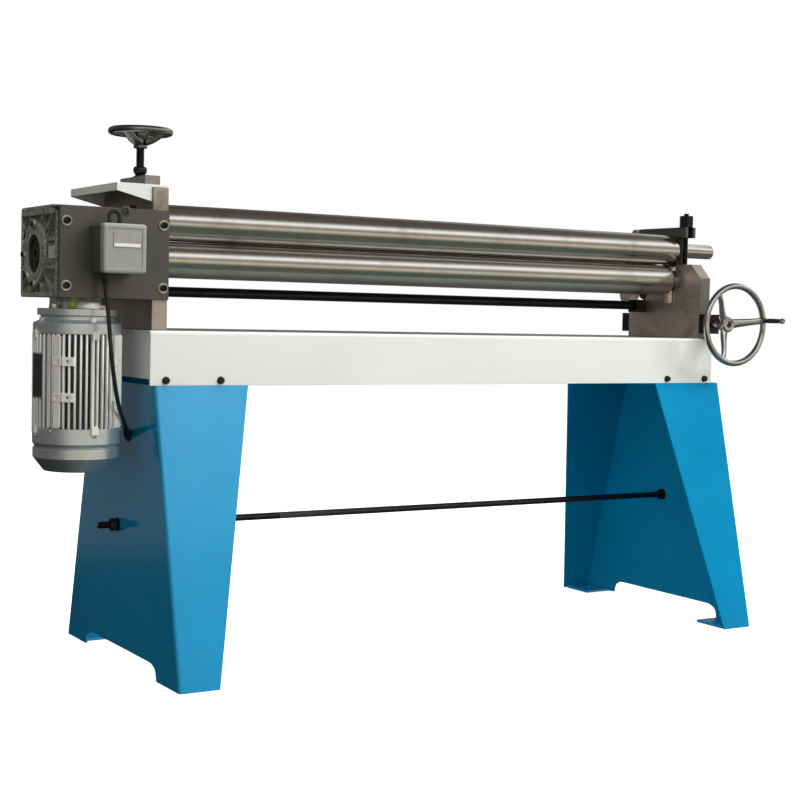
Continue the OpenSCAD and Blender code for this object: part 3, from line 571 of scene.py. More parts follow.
def cast(name, title, colour, metal, rough, grain=260.0, mottle=0.3, depth=0.08, second=None, clumps=26.0):
    """Cast metal: sand-grain bump in two sizes and a mottled tone that may lean to a second colour."""
    f = Finish(name, title)
    sand, cloud = f.noise(grain, 4, 0.65), f.noise(clumps, 6, 0.7)
    pits = f.node("TexVoronoi", {"Vector": f.place, "Scale": grain * 0.7}, out="Distance")
    base = f.mix(f.between(cloud, 0.35, 0.66), shade(colour, 1 - mottle), second or shade(colour, 1 + mottle))
    base = f.mix(f.between(sand, 0.5, 0.72) * 0.4, base, shade(colour, 0.62))
    f.set(Base_Color=base, Metallic=metal, Roughness=sand * 0.2 + (rough - 0.1),
          Normal=f.bump(sand * 0.7 + pits * 0.3, depth, 0.0006))


def finned(name, title, colour, centre, core, tips):
    """Cast fins: painted shade at the core and painted light at the tips, by the distance from the axis."""
    f = Finish(name, title)
    x, y = (f.along(k) - float(centre[k] * MM) for k in (0, 1))
    grain = f.noise(420, 4, 0.65)
    # Painted shade between the fins, dark at the core, and painted highlight, bright, on their tips.
    base = f.drift((x * x + y * y) ** 0.5, core, tips, colour, 0.05, 1.5)
    base = f.mix(f.between(f.noise(30, 5, 0.7), 0.45, 0.8) * 0.3, base, shade(colour, 0.6))
    f.set(Base_Color=base, Metallic=0.35, Roughness=grain * 0.2 + 0.3, Normal=f.bump(grain, 0.15, 0.0006))


def plain(name, title, colour, metal=0.0, rough=0.4, grain=700.0, depth=0.1, spread=0.1):
    """A moulded, plated or blackened finish: fine grain and a slow change of tone and gloss."""
    f = Finish(name, title)
    fine, slow = f.noise(grain, 3, 0.6), f.noise(21, 5, 0.6)
    f.set(Base_Color=f.drift(slow, 0.3, 0.7, colour, 1 - spread, 1 + spread), Metallic=metal,
          Roughness=slow * 0.14 + fine * 0.06 + (rough - 0.1), Coat_Weight=0.0, Coat_Roughness=0.1,
          Normal=f.bump(fine, depth, 0.0003))


def pale(name, title):
    """Smooth pale floor with a faint drift of tone."""
    f = Finish(name, title)
    f.set(Base_Color=f.mix(f.noise(1.5, 3), (0.93, 0.93, 0.92), (0.96, 0.96, 0.95)), Roughness=0.6,
          Emission_Color=(1, 1, 1), Emission_Strength=0.9)


UPRIGHT, CROSSWISE = (0.05, 0.05, 1.0), (1.0, 0.06, 1.0)


def make_finishes(colours):
    """Every finish of the machine."""
    plate, motor = colours.plate, colours.motor
    white = dict(colour=colours.bed, rough=0.34, coat=0.35, peel=0.08, spread=0.02)
    paint("stand", "stand blue", colours.stand, 0.14, 0.4, 0.02, dust=0.04)
    # Painted shade: the right stand gets the same blue painted darker, with a duller gloss.
    paint("right_stand", "right stand blue painted shade", shade(colours.stand, 0.82), 0.3, 0.0, 0.02,
          dust=0.04, gloss=0.08)
    # The bed's top face is painted dark grey: painted shade, dim where the rolls mirror it.
    paint("bed", "bed white", **white, top=(high("bed")[2], (0.20, 0.215, 0.20)))
    paint("bracket", "bracket white", **white)
    paint("cover", "cover grey", colours.cover, 0.42, 0.1, 0.3, grain=520, spread=0.14)
    # Painted light: plate colour brightened for the frames' shaded sides, far more on the right.
    ground("left_plate_painted_light", "left frame plate painted light", shade(plate, 1.25), UPRIGHT, stain=0.4,
           front=(low("left_frame")[1], (0.50, 0.47, 0.43)))
    ground("right_plate_painted_light", "right frame plate painted light", shade(plate, 2.9), UPRIGHT, stain=0.85,
           front=(low("right_frame")[1], (0.21, 0.235, 0.215)))
    ground("machined", "machined steel", (0.36, 0.35, 0.33), CROSSWISE, 0.34, stain=0.25)
    ground("cap_iron", "cap iron", (0.17, 0.165, 0.155), CROSSWISE, 0.4, stain=0.4)
    turned("roll", "turned roll", (0.58, 0.575, 0.55))
    turned("bronze", "bearing bronze", (0.55, 0.36, 0.18), rough=0.3, line=900)
    cast("iron", "bearing iron", (0.055, 0.05, 0.046), 0.7, 0.45, depth=0.2)
    cast("iron_light", "milled iron", (0.50, 0.53, 0.48), 0.7, 0.36, depth=0.25, clumps=50)
    cast("gearbox", "gearbox casting", (0.29, 0.295, 0.26), 0.45, 0.42, mottle=0.35, depth=0.8,
         second=(0.58, 0.60, 0.53), clumps=110)
    cast("motor", "motor casting", motor, 0.8, 0.34, 420, 0.05)
    cast("motor_rails", "milled rails", (0.86, 0.86, 0.82), 0.3, 0.36, 420, 0.05)
    cast("cowl", "fan cowl", (0.66, 0.71, 0.72), 0.85, 0.34, 420, 0.06)
    finned("fins", "motor fins", motor, middle("motor_flange"), 0.0735, 0.082)
    plain("black", "blackened steel", (0.030, 0.030, 0.031), 0.8, 0.28)
    plain("case", "switch cover", colours.switch, rough=0.42, grain=900, depth=0.15, spread=0.03)
    # Painted shade: the box body is coloured far darker than its cover, for its shaded sides.
    plain("case_painted_shade", "switch body painted shade", (0.085, 0.083, 0.082), rough=0.45, grain=900, depth=0.15)
    plain("plastic", "black moulding", (0.012, 0.012, 0.012), rough=0.38, depth=0.15)
    plain("rubber", "cable sheath", (0.010, 0.010, 0.012), rough=0.5, grain=400)
    plain("seal", "shaft seal", (0.012, 0.012, 0.012), rough=0.5)
    plain("chrome", "polished casting", (0.50, 0.50, 0.50), 1.0, 0.2, 500, 0.05, 0.08)
    plain("dark_chrome", "dark polish", (0.24, 0.24, 0.235), 1.0, 0.22, 500, 0.05)
    plain("zinc", "zinc plate", (0.62, 0.62, 0.60), 1.0, 0.3, 500)
    plain("lug", "plated lug", (0.16, 0.16, 0.155), 0.9, 0.3)
    plain("plug", "oil plug", (0.45, 0.55, 0.10), rough=0.35)
    plain("gear_plate", "gearbox label", (0.66, 0.66, 0.64), 0.4, 0.35, depth=0.03)
    plain("dark_plate", "dark bare plate", (0.045, 0.045, 0.045), 0.4, 0.38, spread=0.25)
    # Painted highlight: a white bar under the switch label.
    plain("label_highlight_strip", "painted label highlight", (0.82, 0.82, 0.80), spread=0.03)
    plain("plate_label", "bare label", (0.36, 0.365, 0.35), 0.3, 0.35, depth=0.03)
    pale("floor", "pale floor")


# ---- the stage: camera, light, floor ---------------------------------------------

CAMERA_PLACE = (-1.83983, -2.85287, 0.70408)
CAMERA_TURN, CAMERA_DOWN, CAMERA_ROLL = -31.8187, 3.2530, 1.3487
FLOOR_HALF, FLOOR_Z = 9000, -0.8
FRONT_WAY = (0.62, -0.78, 0.0)
FRONT_BANDS = [
    (0.0, (0.10, 0.115, 0.10)), (0.14, (0.13, 0.155, 0.13)), (0.31, (0.105, 0.135, 0.105)),
    (0.36, (0.22, 0.23, 0.17)), (0.43, (0.80, 0.72, 0.56)), (0.49, (0.95, 0.84, 0.66)),
    (0.54, (0.48, 0.40, 0.33)), (0.59, (0.30, 0.25, 0.21)), (0.64, (0.55, 0.50, 0.48)),
    (0.70, (1.4, 1.4, 1.36)), (0.745, (1.75, 1.75, 1.73)), (0.80, (0.95, 0.92, 0.89)),
    (0.835, (0.40, 0.40, 0.38)), (0.87, (0.12, 0.12, 0.11)), (0.93, (0.15, 0.11, 0.085)),
    (1.0, (0.15, 0.11, 0.085))]
BACK_BANDS = [
    (0.0, (0.02, 0.025, 0.025)), (0.418, (0.03, 0.035, 0.035)), (0.426, (0.34, 0.33, 0.31)),
    (0.60, (0.32, 0.31, 0.30)), (0.76, (0.34, 0.33, 0.32)), (0.90, (0.14, 0.11, 0.09)),
    (1.0, (0.13, 0.10, 0.08))]


def set_down(obj, at, right, up, back):
    """Puts a camera or a light in the scene: the columns of its turn are its right, its up and its back."""
    matrix = np.eye(4)
    matrix[:3, :3], matrix[:3, 3] = np.array([right, up, back]).T, at
    obj.matrix_world = Matrix(matrix.tolist())
    bpy.context.scene.collection.objects.link(obj)
    return obj


def look(obj, at, turn, down, roll):
    """Sets a camera down by the angles of its view, rolled about it."""
    a, e, r = (math.radians(v) for v in (turn, down, roll))
    back = np.array([math.sin(a) * math.cos(e), -math.cos(a) * math.cos(e), math.sin(e)])
    right = np.array([math.cos(a), math.sin(a), 0])
    up = np.cross(back, right)
    return set_down(obj, at, right * math.cos(r) + up * math.sin(r),
                    up * math.cos(r) - right * math.sin(r), back)


def area_light(name, at, target, watts, width, height):
    """A soft rectangular light that faces its target."""
    data = bpy.data.lights.new(name, "AREA")
    data.shape, data.size, data.size_y, data.energy = "RECTANGLE", width, height, watts
    back = unit(np.subtract(at, target))
    right = unit(np.cross((0, 0, 1), back))
    light = set_down(bpy.data.objects.new(name, data), at, right, np.cross(back, right), back)
    light.visible_glossy = light.visible_camera = False


class Backdrop(Finish):
    """The world's node tree, with the same way of adding nodes."""

    def __init__(self, world):
        world.use_nodes = True
        self.tree = world.node_tree
        self.shader = self.tree.nodes["Background"]


class ROLLS_OT_stage(bpy.types.Operator):
    """Places the camera, the lights, the surroundings and the pale floor"""

    bl_idname = "rolls.stage"
    bl_label = "Stage"

    def execute(self, context):
        studio = context.scene.roll_studio
        data = bpy.data.cameras.new("camera")
        data.lens, data.sensor_width, data.clip_end = studio.lens, 36, 60
        context.scene.camera = look(bpy.data.objects.new("camera", data), CAMERA_PLACE, CAMERA_TURN,
                                    CAMERA_DOWN, CAMERA_ROLL)
        context.scene.view_settings.view_transform = "Standard"
        area_light("key", (1.6, -3.6, 2.3), (0, 0, 0.6), studio.key, 2.4, 1.6)
        area_light("top", (0.1, -0.6, 3.4), (0, 0, 0), studio.top, 3.4, 2.4)
        area_light("low", (-0.35, -0.10, 0.28), (0.7, -0.06, 0.30), studio.low, 0.24, 0.3)
        self.surroundings(context.scene)
        corners = np.array([[(-1, -1, 0), (1, -1, 0)], [(-1, 1, 0), (1, 1, 0)]]) * FLOOR_HALF
        floor = piece("floor", skin(corners + (0, 0, FLOOR_Z), wrap=False), "floor")
        floor.visible_glossy = floor.visible_diffuse = False
        return {"FINISHED"}

    @staticmethod
    def surroundings(scene):
        """White to the camera; bands of light by height to all else, bright ones in front and dim ones
        behind, and those behind dimmed further for mirrored rays."""
        scene.world = bpy.data.worlds.new("studio")
        back = Backdrop(scene.world)
        way = back.node("TexCoord", out="Generated")
        height = back.node("SeparateXYZ", {0: way}, out=2) * 0.5 + 0.5
        front, rear = (back.node("ValToRGB", {0: height}, stops=bands) for bands in (FRONT_BANDS, BACK_BANDS))
        facing = back.node("VectorMath", {0: way, 1: FRONT_WAY}, out="Value", operation="DOT_PRODUCT")
        side = back.between(facing, -0.45, 0.4)
        mirrored = back.node("LightPath", out="Is Glossy Ray") * (1 - side)
        seen = back.node("LightPath", out="Is Camera Ray")
        back.set(Color=back.mix(seen, back.mix(side, rear, front), (1, 1, 1)), Strength=1 - mirrored * 0.55)


# ---- the cord ------------------------------------------------------------------------

CABLE_TOP = (-821.0, -187.0, 744.0)
CABLE_UPPER = [(0, 0, 0), (0.6, 0, -12), (2.6, -0.3, -27), (5.2, -0.5, -46), (8, -1, -78), (10.7, -1, -110),
               (14.8, 1, -139), (19.8, 5, -166), (25.9, 11, -190), (33, 18.5, -212)]
SLEEVE_START, SLEEVE_WAY, SLEEVE_L = (-712.0, -35.0, 453.0), (-24.0, -45.0, 18.0), 45.0
CABLE_LOWER = [(-47, -83.6, 46), (-35.4, -65.6, 31), (-22, -45, 18), (-11, -22, 9), (0, 0, 0)]
CABLE_D = 8 * MM


class ROLLS_OT_switch_cable(bpy.types.Operator):
    """Lays the cable from the switch box to the stand, with its tapered sleeve and its glands"""

    bl_idname = "rolls.switch_cable"
    bl_label = "Switch cable"

    def execute(self, context):
        start, way = np.array(SLEEVE_START), unit(SLEEVE_WAY)
        bottom = start + SLEEVE_L * way
        points = np.concatenate([np.add(CABLE_TOP, CABLE_UPPER), bottom + np.array(CABLE_LOWER)]) * MM
        before, after = points[[0, *range(len(points) - 1)]], points[[*range(1, len(points)), -1]]
        slopes = (after - before) / 6
        slopes[[0, -1]] *= 0.5
        curve = bpy.data.curves.new("switch_cord", "CURVE")
        curve.dimensions, curve.bevel_depth, curve.bevel_resolution = "3D", CABLE_D / 2, 6
        curve.resolution_u = 8
        line = curve.splines.new("BEZIER")
        line.bezier_points.add(len(points) - 1)
        for key in ("handle_left_type", "handle_right_type"):
            line.bezier_points.foreach_set(key, np.zeros(len(points), np.int32))
        for key, places in (("co", points), ("handle_left", points - slopes),
                            ("handle_right", points + slopes)):
            line.bezier_points.foreach_set(key, places.ravel())
        cord = bpy.data.objects.new("switch_cord", curve)
        curve.materials.append(FINISHES["rubber"])
        context.scene.collection.objects.link(cord)
        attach(cord, "base")
        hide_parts("switch_cable")
        self.glands(start, way)
        return {"FINISHED"}

    @staticmethod
    def run(points, slopes):
        """The curve's length: a cubic between each two points, summed over short straight steps."""
        t = np.linspace(0, 1, 24)[None, :, None]
        a, b = points[:-1, None], points[1:, None]
        c, d = (points + slopes)[:-1, None], (points - slopes)[1:, None]
        fine = a * (1 - t) ** 3 + 3 * c * t * (1 - t) ** 2 + 3 * d * t**2 * (1 - t) + b * t**3
        return float(np.linalg.norm(np.diff(fine.reshape(-1, 3), axis=0), axis=1).sum())

    @staticmethod
    def glands(start, way):
        """The hexagonal gland under the switch box and the ribbed, tapered sleeve on the stand."""
        x, y, z0 = CABLE_TOP
        z1 = low("switch_box")[2] - 5
        profile = [(4.1, z0), (5.5, z0), (6.6, z0 + 4), (7.6, z0 + 8), (8, z0 + 9), (8, z1), (4.1, z1)]
        t = np.linspace(-0.12, 1, 60)
        ribs = 1 + 0.09 * (np.sin(t * 2 * np.pi * 8) > 0.1) * (t > 0.12) * (t < 0.93)
        sleeve = tube(start + t[:, None] * SLEEVE_L * way, (8.0 - 2.6 * np.clip(t, 0, 1)) * ribs, around=40)
        flange = lathe([(9, -3), (11.6, -2.6), (12, -0.8), (11.2, 0.2), (6, 0.2)], start, "x")
        gland = joined(lathe(profile, (x, y, 0), loop=True, around=48), hex_head(15.5, 5, (x, y, z1)))
        piece("cable_glands_dressed", joined(gland, sleeve, flange), "plastic", "black_plastic",
              "cable_glands")


# ---- stands and tie rod -----------------------------------------------------------------


class ROLLS_OT_stands(bpy.types.Operator):
    """Folds the two sheet-metal stands, with the cut-outs between their feet, and adds the foot plates"""

    bl_idname = "rolls.stands"
    bl_label = "Stands"

    EDGE_TOP, EDGE_FOOT, HALF_TOP, SHEET = 194, 82, 163, 5
    FOOT, CUT, RAMP, LIP = 110, 30, 32, 36

    def execute(self, context):
        sheet, half_y = self.SHEET, self.HALF_TOP
        top = high("left_stand")[2] - self.LIP
        inset = sheet * 1.02
        lip_y = half_y - 5.2
        fold = context.scene.roll_sizes.fold / MM
        # The right stand takes the blue painted darker, painted shade.
        for side, node, finish in ((-1, "left_stand", "stand"), (1, "right_stand", "right_stand")):
            outer_x = tip(node, side)

            def inwards(distance):
                return outer_x - side * distance

            shapes = [self.folded_sheet(outer_x, side, high(node)[1], top, fold),
                      block((inwards(inset), -half_y + inset, top - sheet),
                            (inwards(self.EDGE_TOP - 1), half_y - inset, top))]
            shapes += [block((inwards(30), y, top - 3),
                             (inwards(self.EDGE_TOP - 8), y + sheet, top + self.LIP))
                       for y in (-lip_y, lip_y - sheet)]
            piece(node + "_folded", joined(*shapes), finish, "stand_paint", node, edge=0.7, steps=2)
        dressed("foot_plates", "stand", 1.0)
        return {"FINISHED"}

    def folded_sheet(self, outer_x, side, half_foot, top, fold):
        """The sheet as a grid: across it runs a channel section with round folds, whose depth and flange
        width go linearly from the foot to the top; its lower border follows the cut-out."""
        foot_in, taper = half_foot - self.FOOT, self.HALF_TOP / half_foot
        bend_z = self.CUT * (0.45 + 0.55 * np.sin(QUARTER))
        lean = foot_in * (1 - taper) * bend_z / top
        bend_y = -foot_in + 0.6 + lean + self.RAMP * (1 - np.cos(QUARTER))
        stops = np.concatenate([[-half_foot + fold * 1.4, -foot_in - 4, -foot_in], bend_y])
        heights = np.concatenate([[0, 0, 0], bend_z])
        stops, heights = np.concatenate([stops, -stops[::-1]]), np.concatenate([heights, heights[::-1]])

        def section(half_depth, width, radius, inset, plate_y, plate_z):
            """Points in x inwards from the outer face and in y, from the front flange's free edge round."""
            arc_x, arc_y = radius * (1 - np.sin(QUARTER)), radius * (1 - np.cos(QUARTER))
            halfway, y = (width + radius) / 2, half_depth - inset
            xs = np.concatenate([[width, halfway], inset + arc_x, np.full(len(plate_y), inset),
                                 inset + arc_x[::-1], [halfway, width]])
            ys = np.concatenate([[-y] * 2, -y + arc_y, plate_y, y - arc_y[::-1], [y] * 2])
            flat = np.zeros(2 + len(QUARTER))
            return xs, ys, np.concatenate([flat, plate_z, flat])

        def skin_of(inset, radius):
            lower = section(half_foot, self.EDGE_FOOT, radius, inset, stops, heights)
            upper = section(self.HALF_TOP, self.EDGE_TOP, radius, inset, stops * taper, heights * 0)
            t = np.linspace(0, 1, 9)[:, None]
            xs, ys = ((1 - t) * a + t * b for a, b in zip(lower[:2], upper))
            return np.stack([outer_x - side * xs, ys, (1 - t) * lower[2] + t * top], -1)

        outer, inner = skin_of(0.0, fold), skin_of(self.SHEET, fold - self.SHEET)
        return sheet_metal(outer, inner) if side > 0 else sheet_metal(inner, outer)


class ROLLS_OT_tie_rod(bpy.types.Operator):
    """Turns the tie rod with its threaded ends and its nuts and washers"""

    bl_idname = "rolls.tie_rod"
    bl_label = "Tie rod"

    LONGER, THICKER, THREADED, PITCH = 18, 6, 46, 2
    RING, SHEET = 2, 5

    def execute(self, context):
        lo, hi = ends("tie_rod")
        at = middle("tie_rod") * (0, 1, 1)
        d, left, right = hi[1] - lo[1], lo[0] + self.THREADED, hi[0] - self.THREADED
        bar = lathe([(d / 2 - 1, left), (d / 2, left + 1), (d / 2, right - 1), (d / 2 - 1, right)], at, "x")
        threads = [thread(d, self.PITCH, lo[0] - self.LONGER, left, at, "x"),
                   thread(d, self.PITCH, right, hi[0] - 1, at, "x")]
        piece("tie_rod_turned", joined(bar, *threads), "black", "dark_steel", "tie_rod")
        face, ring, shapes = abs(low("left_stand")[0]), self.RING, []
        for side in (-1, 1):
            thick = abs(tip("tie_rod_nuts", side)) - face + (self.THICKER if side < 0 else 0)
            for x, way in ((side * face, side), (side * (face - self.SHEET), -side)):
                shapes += [hex_head(d * 1.55, thick - ring, at + (x + way * ring, 0, 0), "x", way, d + 0.2),
                           washer(d * 1.95, d + 0.3, ring, at + (x + min(0, way) * ring, 0, 0), "x")]
        piece("tie_rod_nuts_turned", joined(*shapes), "black", "dark_steel", "tie_rod_nuts")
        return {"FINISHED"}


# ---- bed and side frames --------------------------------------------------------------------


class ROLLS_OT_bed(bpy.types.Operator):
    """Folds the bed channel, with its end plates"""

    bl_idname = "rolls.bed"
    bl_label = "Bed"

    SHEET, RIM = 5, 12

    def execute(self, context):
        lo, hi = ends("bed")
        fold, t = context.scene.roll_sizes.fold / MM, self.SHEET

        def skin_of(inset, radius):
            """Points from the front skirt's lower edge over the top to the rear skirt's, along the bed."""
            y, z = hi[1] - inset, hi[2] - inset
            front_y, front_z = -y + radius * (1 - np.cos(QUARTER)), z - radius * (1 - np.sin(QUARTER))
            ys = np.concatenate([[-y], front_y, -front_y[::-1], [y]])
            zs = np.concatenate([[lo[2]], front_z, front_z[::-1], [lo[2]]])
            xs = np.linspace(lo[0], hi[0], 9)[:, None]
            return np.stack(np.broadcast_arrays(xs, ys[None], zs[None]), -1)

        channel = sheet_metal(skin_of(t, fold - t), skin_of(0, fold))
        inner_y = hi[1] - t - 0.1
        plates = [block((x, -inner_y, lo[2] + self.RIM), (x + t, inner_y, hi[2] - t - 0.1))
                  for x in (lo[0] + 0.8, hi[0] - t - 0.8)]
        piece("bed_folded", joined(channel, *plates), "bed", "bed_paint", "bed", edge=0.8, steps=2)
        return {"FINISHED"}


class ROLLS_OT_side_frames(bpy.types.Operator):
    """Gives the two side frames their ground faces and rounded edges"""

    bl_idname = "rolls.side_frames"
    bl_label = "Side frames"

    def execute(self, context):
        dressed("left_frame", "left_plate_painted_light")
        dressed("right_frame", "right_plate_painted_light")
        return {"FINISHED"}


# ---- rolls and bearings ---------------------------------------------------------------------

UPPER_JOURNAL_R, JOURNAL_R = 17, 13


class ROLLS_OT_rolls(bpy.types.Operator):
    """Turns the three rolls with their chamfers, fillets, centre holes and slight crown"""

    bl_idname = "rolls.rolls"
    bl_label = "Rolls"

    CROWN, LOWER_SHORT, CHAMFER, CENTRE_R = 0.7, 14, 1.6, 3.5

    def execute(self, context):
        lo, hi = ends("upper_roll_journals")
        body = [end[0] for end in ends("upper_roll")]
        self.roll("upper_roll", (hi[1] - lo[1]) / 2, (lo[0], hi[0]), body, 4, "upper_roll_journals")
        for name, short in (("lower_roll", self.LOWER_SHORT), ("bending_roll", 0)):
            self.roll(name, JOURNAL_R, [end[0] for end in ends(name)], (body[0], body[1] - short), 1.5)
        return {"FINISHED"}

    def roll(self, name, journal, tips, body, nose, *more):
        """Profile of radius along the roll: chamfered journal, fillet, shoulder, chamfer, body, and back.
        Over t from -1 to 1 along the body, the crown adds to the radius one less t to the sixteenth power."""
        (x0, x1), (b0, b1), hole, c = tips, body, self.CENTRE_R, self.CHAMFER
        r = (high(name) - low(name))[1] / 2
        left = [(hole * 0.2, x0 + 6), (hole * 0.3, x0 + 5), (hole, x0), (journal - nose, x0)]
        left += [(journal - nose * (1 - math.sin(a)), x0 + nose * (1 - math.cos(a)))
                 for a in np.linspace(0.3, 1.57, 5)]
        left += [(journal, b0 - 2), (journal + 0.6, b0 - 0.6), (journal + 2, b0), (r - c, b0),
                 (r - 0.3 * c, b0 + 0.35 * c), (r, b0 + c)]
        right = [(radius, x1 - (x - x0) if x < b0 - 3 else b1 - (x - b0)) for radius, x in left[::-1]]
        t = np.sin(np.linspace(-np.pi / 2, np.pi / 2, 25)[1:-1])
        crown = np.stack([r + self.CROWN * (1 - t**16), (b0 + b1) / 2 + t * ((b1 - b0) / 2 - c)], -1)
        shape = lathe(left + crown.tolist() + right, middle(name) * (0, 1, 1), "x", 160)
        piece(name + "_turned", shape, "roll", "roll_steel", name, *more, sharp=40)


class ROLLS_OT_bearings(bpy.types.Operator):
    """Dresses the bearing blocks and adds their bronze bushes"""

    bl_idname = "rolls.bearings"
    bl_label = "Bearings"

    BLOCK_T = 31
    RING = np.array([(0.15, -3), (2.8, -3), (2.8, 0.3), (2.2, 0.8), (0.8, 0.8), (0.15, 0.3)])

    def execute(self, context):
        for node, roll, radius in (("upper_bearings", "upper_roll", UPPER_JOURNAL_R),
                                   ("lower_bearings", "lower_roll", JOURNAL_R),
                                   ("bending_bearings", "bending_roll", JOURNAL_R)):
            dressed(node, "iron", 1.0)
            self.bushes(node, middle(roll) * (0, 1, 1), radius)
        dressed("lower_roll_screws", "zinc", 0.8)
        dressed("lift_rods", "machined", 0.8)
        return {"FINISHED"}

    def bushes(self, node, at, radius):
        """A bronze bush at each face of the blocks, round the journal."""
        x0, x1 = low(node)[0], high(node)[0]
        ring = self.RING + (radius, 0)
        shapes = [lathe((ring * (1, way))[::way], at + (x, 0, 0), "x", 64, loop=True)
                  for x, way in ((x0, -1), (x0 + self.BLOCK_T, 1), (x1 - self.BLOCK_T, -1), (x1, 1))]
        piece(node + "_bushes", joined(*shapes), "bronze", "bearing_iron", body=BODY[node])


# ---- drive side --------------------------------------------------------------------------------


class ROLLS_OT_gear_case(bpy.types.Operator):
    """Dresses the gear case and its covers and adds the four cover screws"""

    bl_idname = "rolls.gear_case"
    bl_label = "Gear case"

    def execute(self, context):
        for node in ("gear_case", "gear_cover_front", "gear_cover_top"):
            dressed(node, "cover", 1.0)
        lo, hi = ends("gear_cover_front")
        spots = [(x, lo[1], z) for x in (lo[0] + 12, hi[0] - 12) for z in (lo[2] + 22, hi[2] - 28)]
        piece("cover_washers", washer(20, 11, 1.8, (0, -1.8, 0), "y").at_each(spots), "zinc", "plain_steel")
        screw = socket_head(13, 7, 6, (0, -1, 0), "y", -1)
        piece("cover_screws", screw.at_each(spots), "black", "dark_steel")
        return {"FINISHED"}


class ROLLS_OT_worm_gearbox(bpy.types.Operator):
    """Dresses the worm gearbox casting and adds its ribs, output ring, seal, cover bolts, label and plug"""

    bl_idname = "rolls.worm_gearbox"
    bl_label = "Worm gearbox"

    HUB_Y, HUB_Z, HUB_R = -2, 798.5, 62
    RIM_Z, RIM, POCKET = 72.5, 9, 14
    RIB_TURNS = (38, 64, 116, 142, 218, 244, 296, 322)
    RING = [(36.2, 4.9), (36.2, -0.4), (37.2, -1.4), (44, -1.4), (45, -0.2), (51, -0.2), (52, -1.4),
            (59.4, -1.4), (60.6, -0.4), (60.6, 2), (51, 2), (49.6, 4.9)]
    SEAL = [(17.6, 4.9), (17.6, 2.2), (19, 0.8), (22, 0.8), (24, 3.4), (28, 3.6), (30, 1.2), (33, 1.0),
            (35.9, 2.4), (35.9, 4.9)]
    SLEEVE = [(8, 40), (8, 3.2), (9, 2.2), (15.5, 1.6), (17.3, 2.6), (17.3, 40)]
    BOSS = [(0, -4.2), (8.2, -4.2), (9.0, -3.4), (9.6, 0), (9.6, 4), (0, 4)]
    PIN = [(0, -4.6), (3.6, -4.6), (4.6, -3.6), (4.6, 3), (0, 3)]

    def execute(self, context):
        lo, hi = ends("worm_gearbox")
        hub = np.array([lo[0], self.HUB_Y, self.HUB_Z])
        dressed("worm_gearbox", "gearbox", 1.8)
        self.ribs(lo, hi, hub)
        for name, profile, finish, slot in (("output_ring", self.RING, "iron_light", "gearbox_casting"),
                                            ("output_seal", self.SEAL, "seal", "black_plastic"),
                                            ("output_sleeve", self.SLEEVE, "iron", "gearbox_casting")):
            piece(name, lathe(profile, hub, "x", loop=True), finish, slot)
        spots = hub + [(0, 0, 56), (0, 0, -56), (0, 56, 0), (0, 40, -40)]
        boss, pin = lathe(self.BOSS, axis="x", around=40), lathe(self.PIN, axis="x", around=40)
        piece("ring_bosses", boss.at_each(spots), "iron_light", "gearbox_casting", sharp=50)
        screw = socket_head(10.5, 3, 5, (-4, 0, 0), "x", -1)
        piece("ring_screws", screw.at_each(spots), "black", "plain_steel")
        piece("ring_pins", pin.at_each(hub + [(0, -53, 12), (0, -53, -2)]), "zinc", "plain_steel")
        self.label(lo[0], hub[2])
        self.neck()
        return {"FINISHED"}

    def ribs(self, lo, hi, hub):
        """Eight ribs from the hub to the rim: each ends where its line meets the rim's inner rectangle."""
        rim_lo, rim_hi = lo[1] + self.RIM, hi[1] - self.RIM
        near, wide = self.HUB_R - 2, 3
        shapes = []
        for degrees in self.RIB_TURNS:
            c, s = math.cos(math.radians(degrees)), math.sin(math.radians(degrees))
            reach = min(((rim_hi if c > 0 else rim_lo) - hub[1]) / c, self.RIM_Z / abs(s)) + 2
            outline = [(hub[1] + r * c + w * s, hub[2] + r * s - w * c)
                       for r, w in ((near, wide), (reach, wide), (reach, -wide), (near, -wide))]
            shapes.append(prism(outline, lo[0] + 2.5, lo[0] + self.POCKET + 1, "x"))
        piece("gearbox_ribs", joined(*shapes), "gearbox", "gearbox_casting", edge=1.2)

    @staticmethod
    def label(x, z):
        """A cast pad beside the hub with a bare riveted plate."""
        y0, y1, z0, z1 = -116, -80, z - 12, z + 15
        cast_pad = prism(rect(y0, y1, z0, z1, 3), x + 1.2, x + 15, "x")
        piece("label_pad", cast_pad, "gearbox", "gearbox_casting", edge=1)
        plate = prism(rect(y0 + 2, y1 - 2, z0 + 2, z1 - 2, 1.5), x + 0.3, x + 1.4, "x")
        rivet = lathe([(0, -0.9), (0.8, -0.7), (1.3, 0), (1.3, 1), (0, 1)], axis="x", around=24)
        spots = [(x + 0.4, y, z) for y in (y0 + 4.5, y1 - 4.5) for z in (z0 + 4.5, z1 - 4.5)]
        piece("gearbox_plate", joined(plate, rivet.at_each(spots)), "gear_plate", "plain_steel",
              edge=0.2, steps=2)

    @staticmethod
    def neck():
        """The oil plug and the bright boss between the gearbox and the motor, and the flange screws."""
        axis, flange = middle("motor_flange"), high("motor_flange")[2]
        plug = joined(lathe([(0, -6), (6.4, -6), (6.6, 0.6), (5.6, 1.2), (0, 1.2)], around=40),
                      hex_head(9.5, 5, (0, 0, 1)))
        piece("oil_plug", on_rim(plug, axis, 52.5, 241, flange + 9), "plug", "gearbox_casting")
        boss = lathe([(0, 0.2), (24.4, 0.2), (25.4, 1.2), (25.4, 9), (23, 13), (14, 14), (0, 14)],
                     (axis[0] + 3, axis[1] - 42, flange), around=72)
        piece("neck_boss", boss, "motor_rails", "motor_casting")
        screw = joined(washer(17, 8.2, 1.6), hex_head(13, 6.5, (0, 0, 1.6)))
        spots = ring_of(axis, 62, (28, 118, 208, 298), flange)
        piece("flange_screws", screw.at_each(spots), "zinc", "plain_steel")


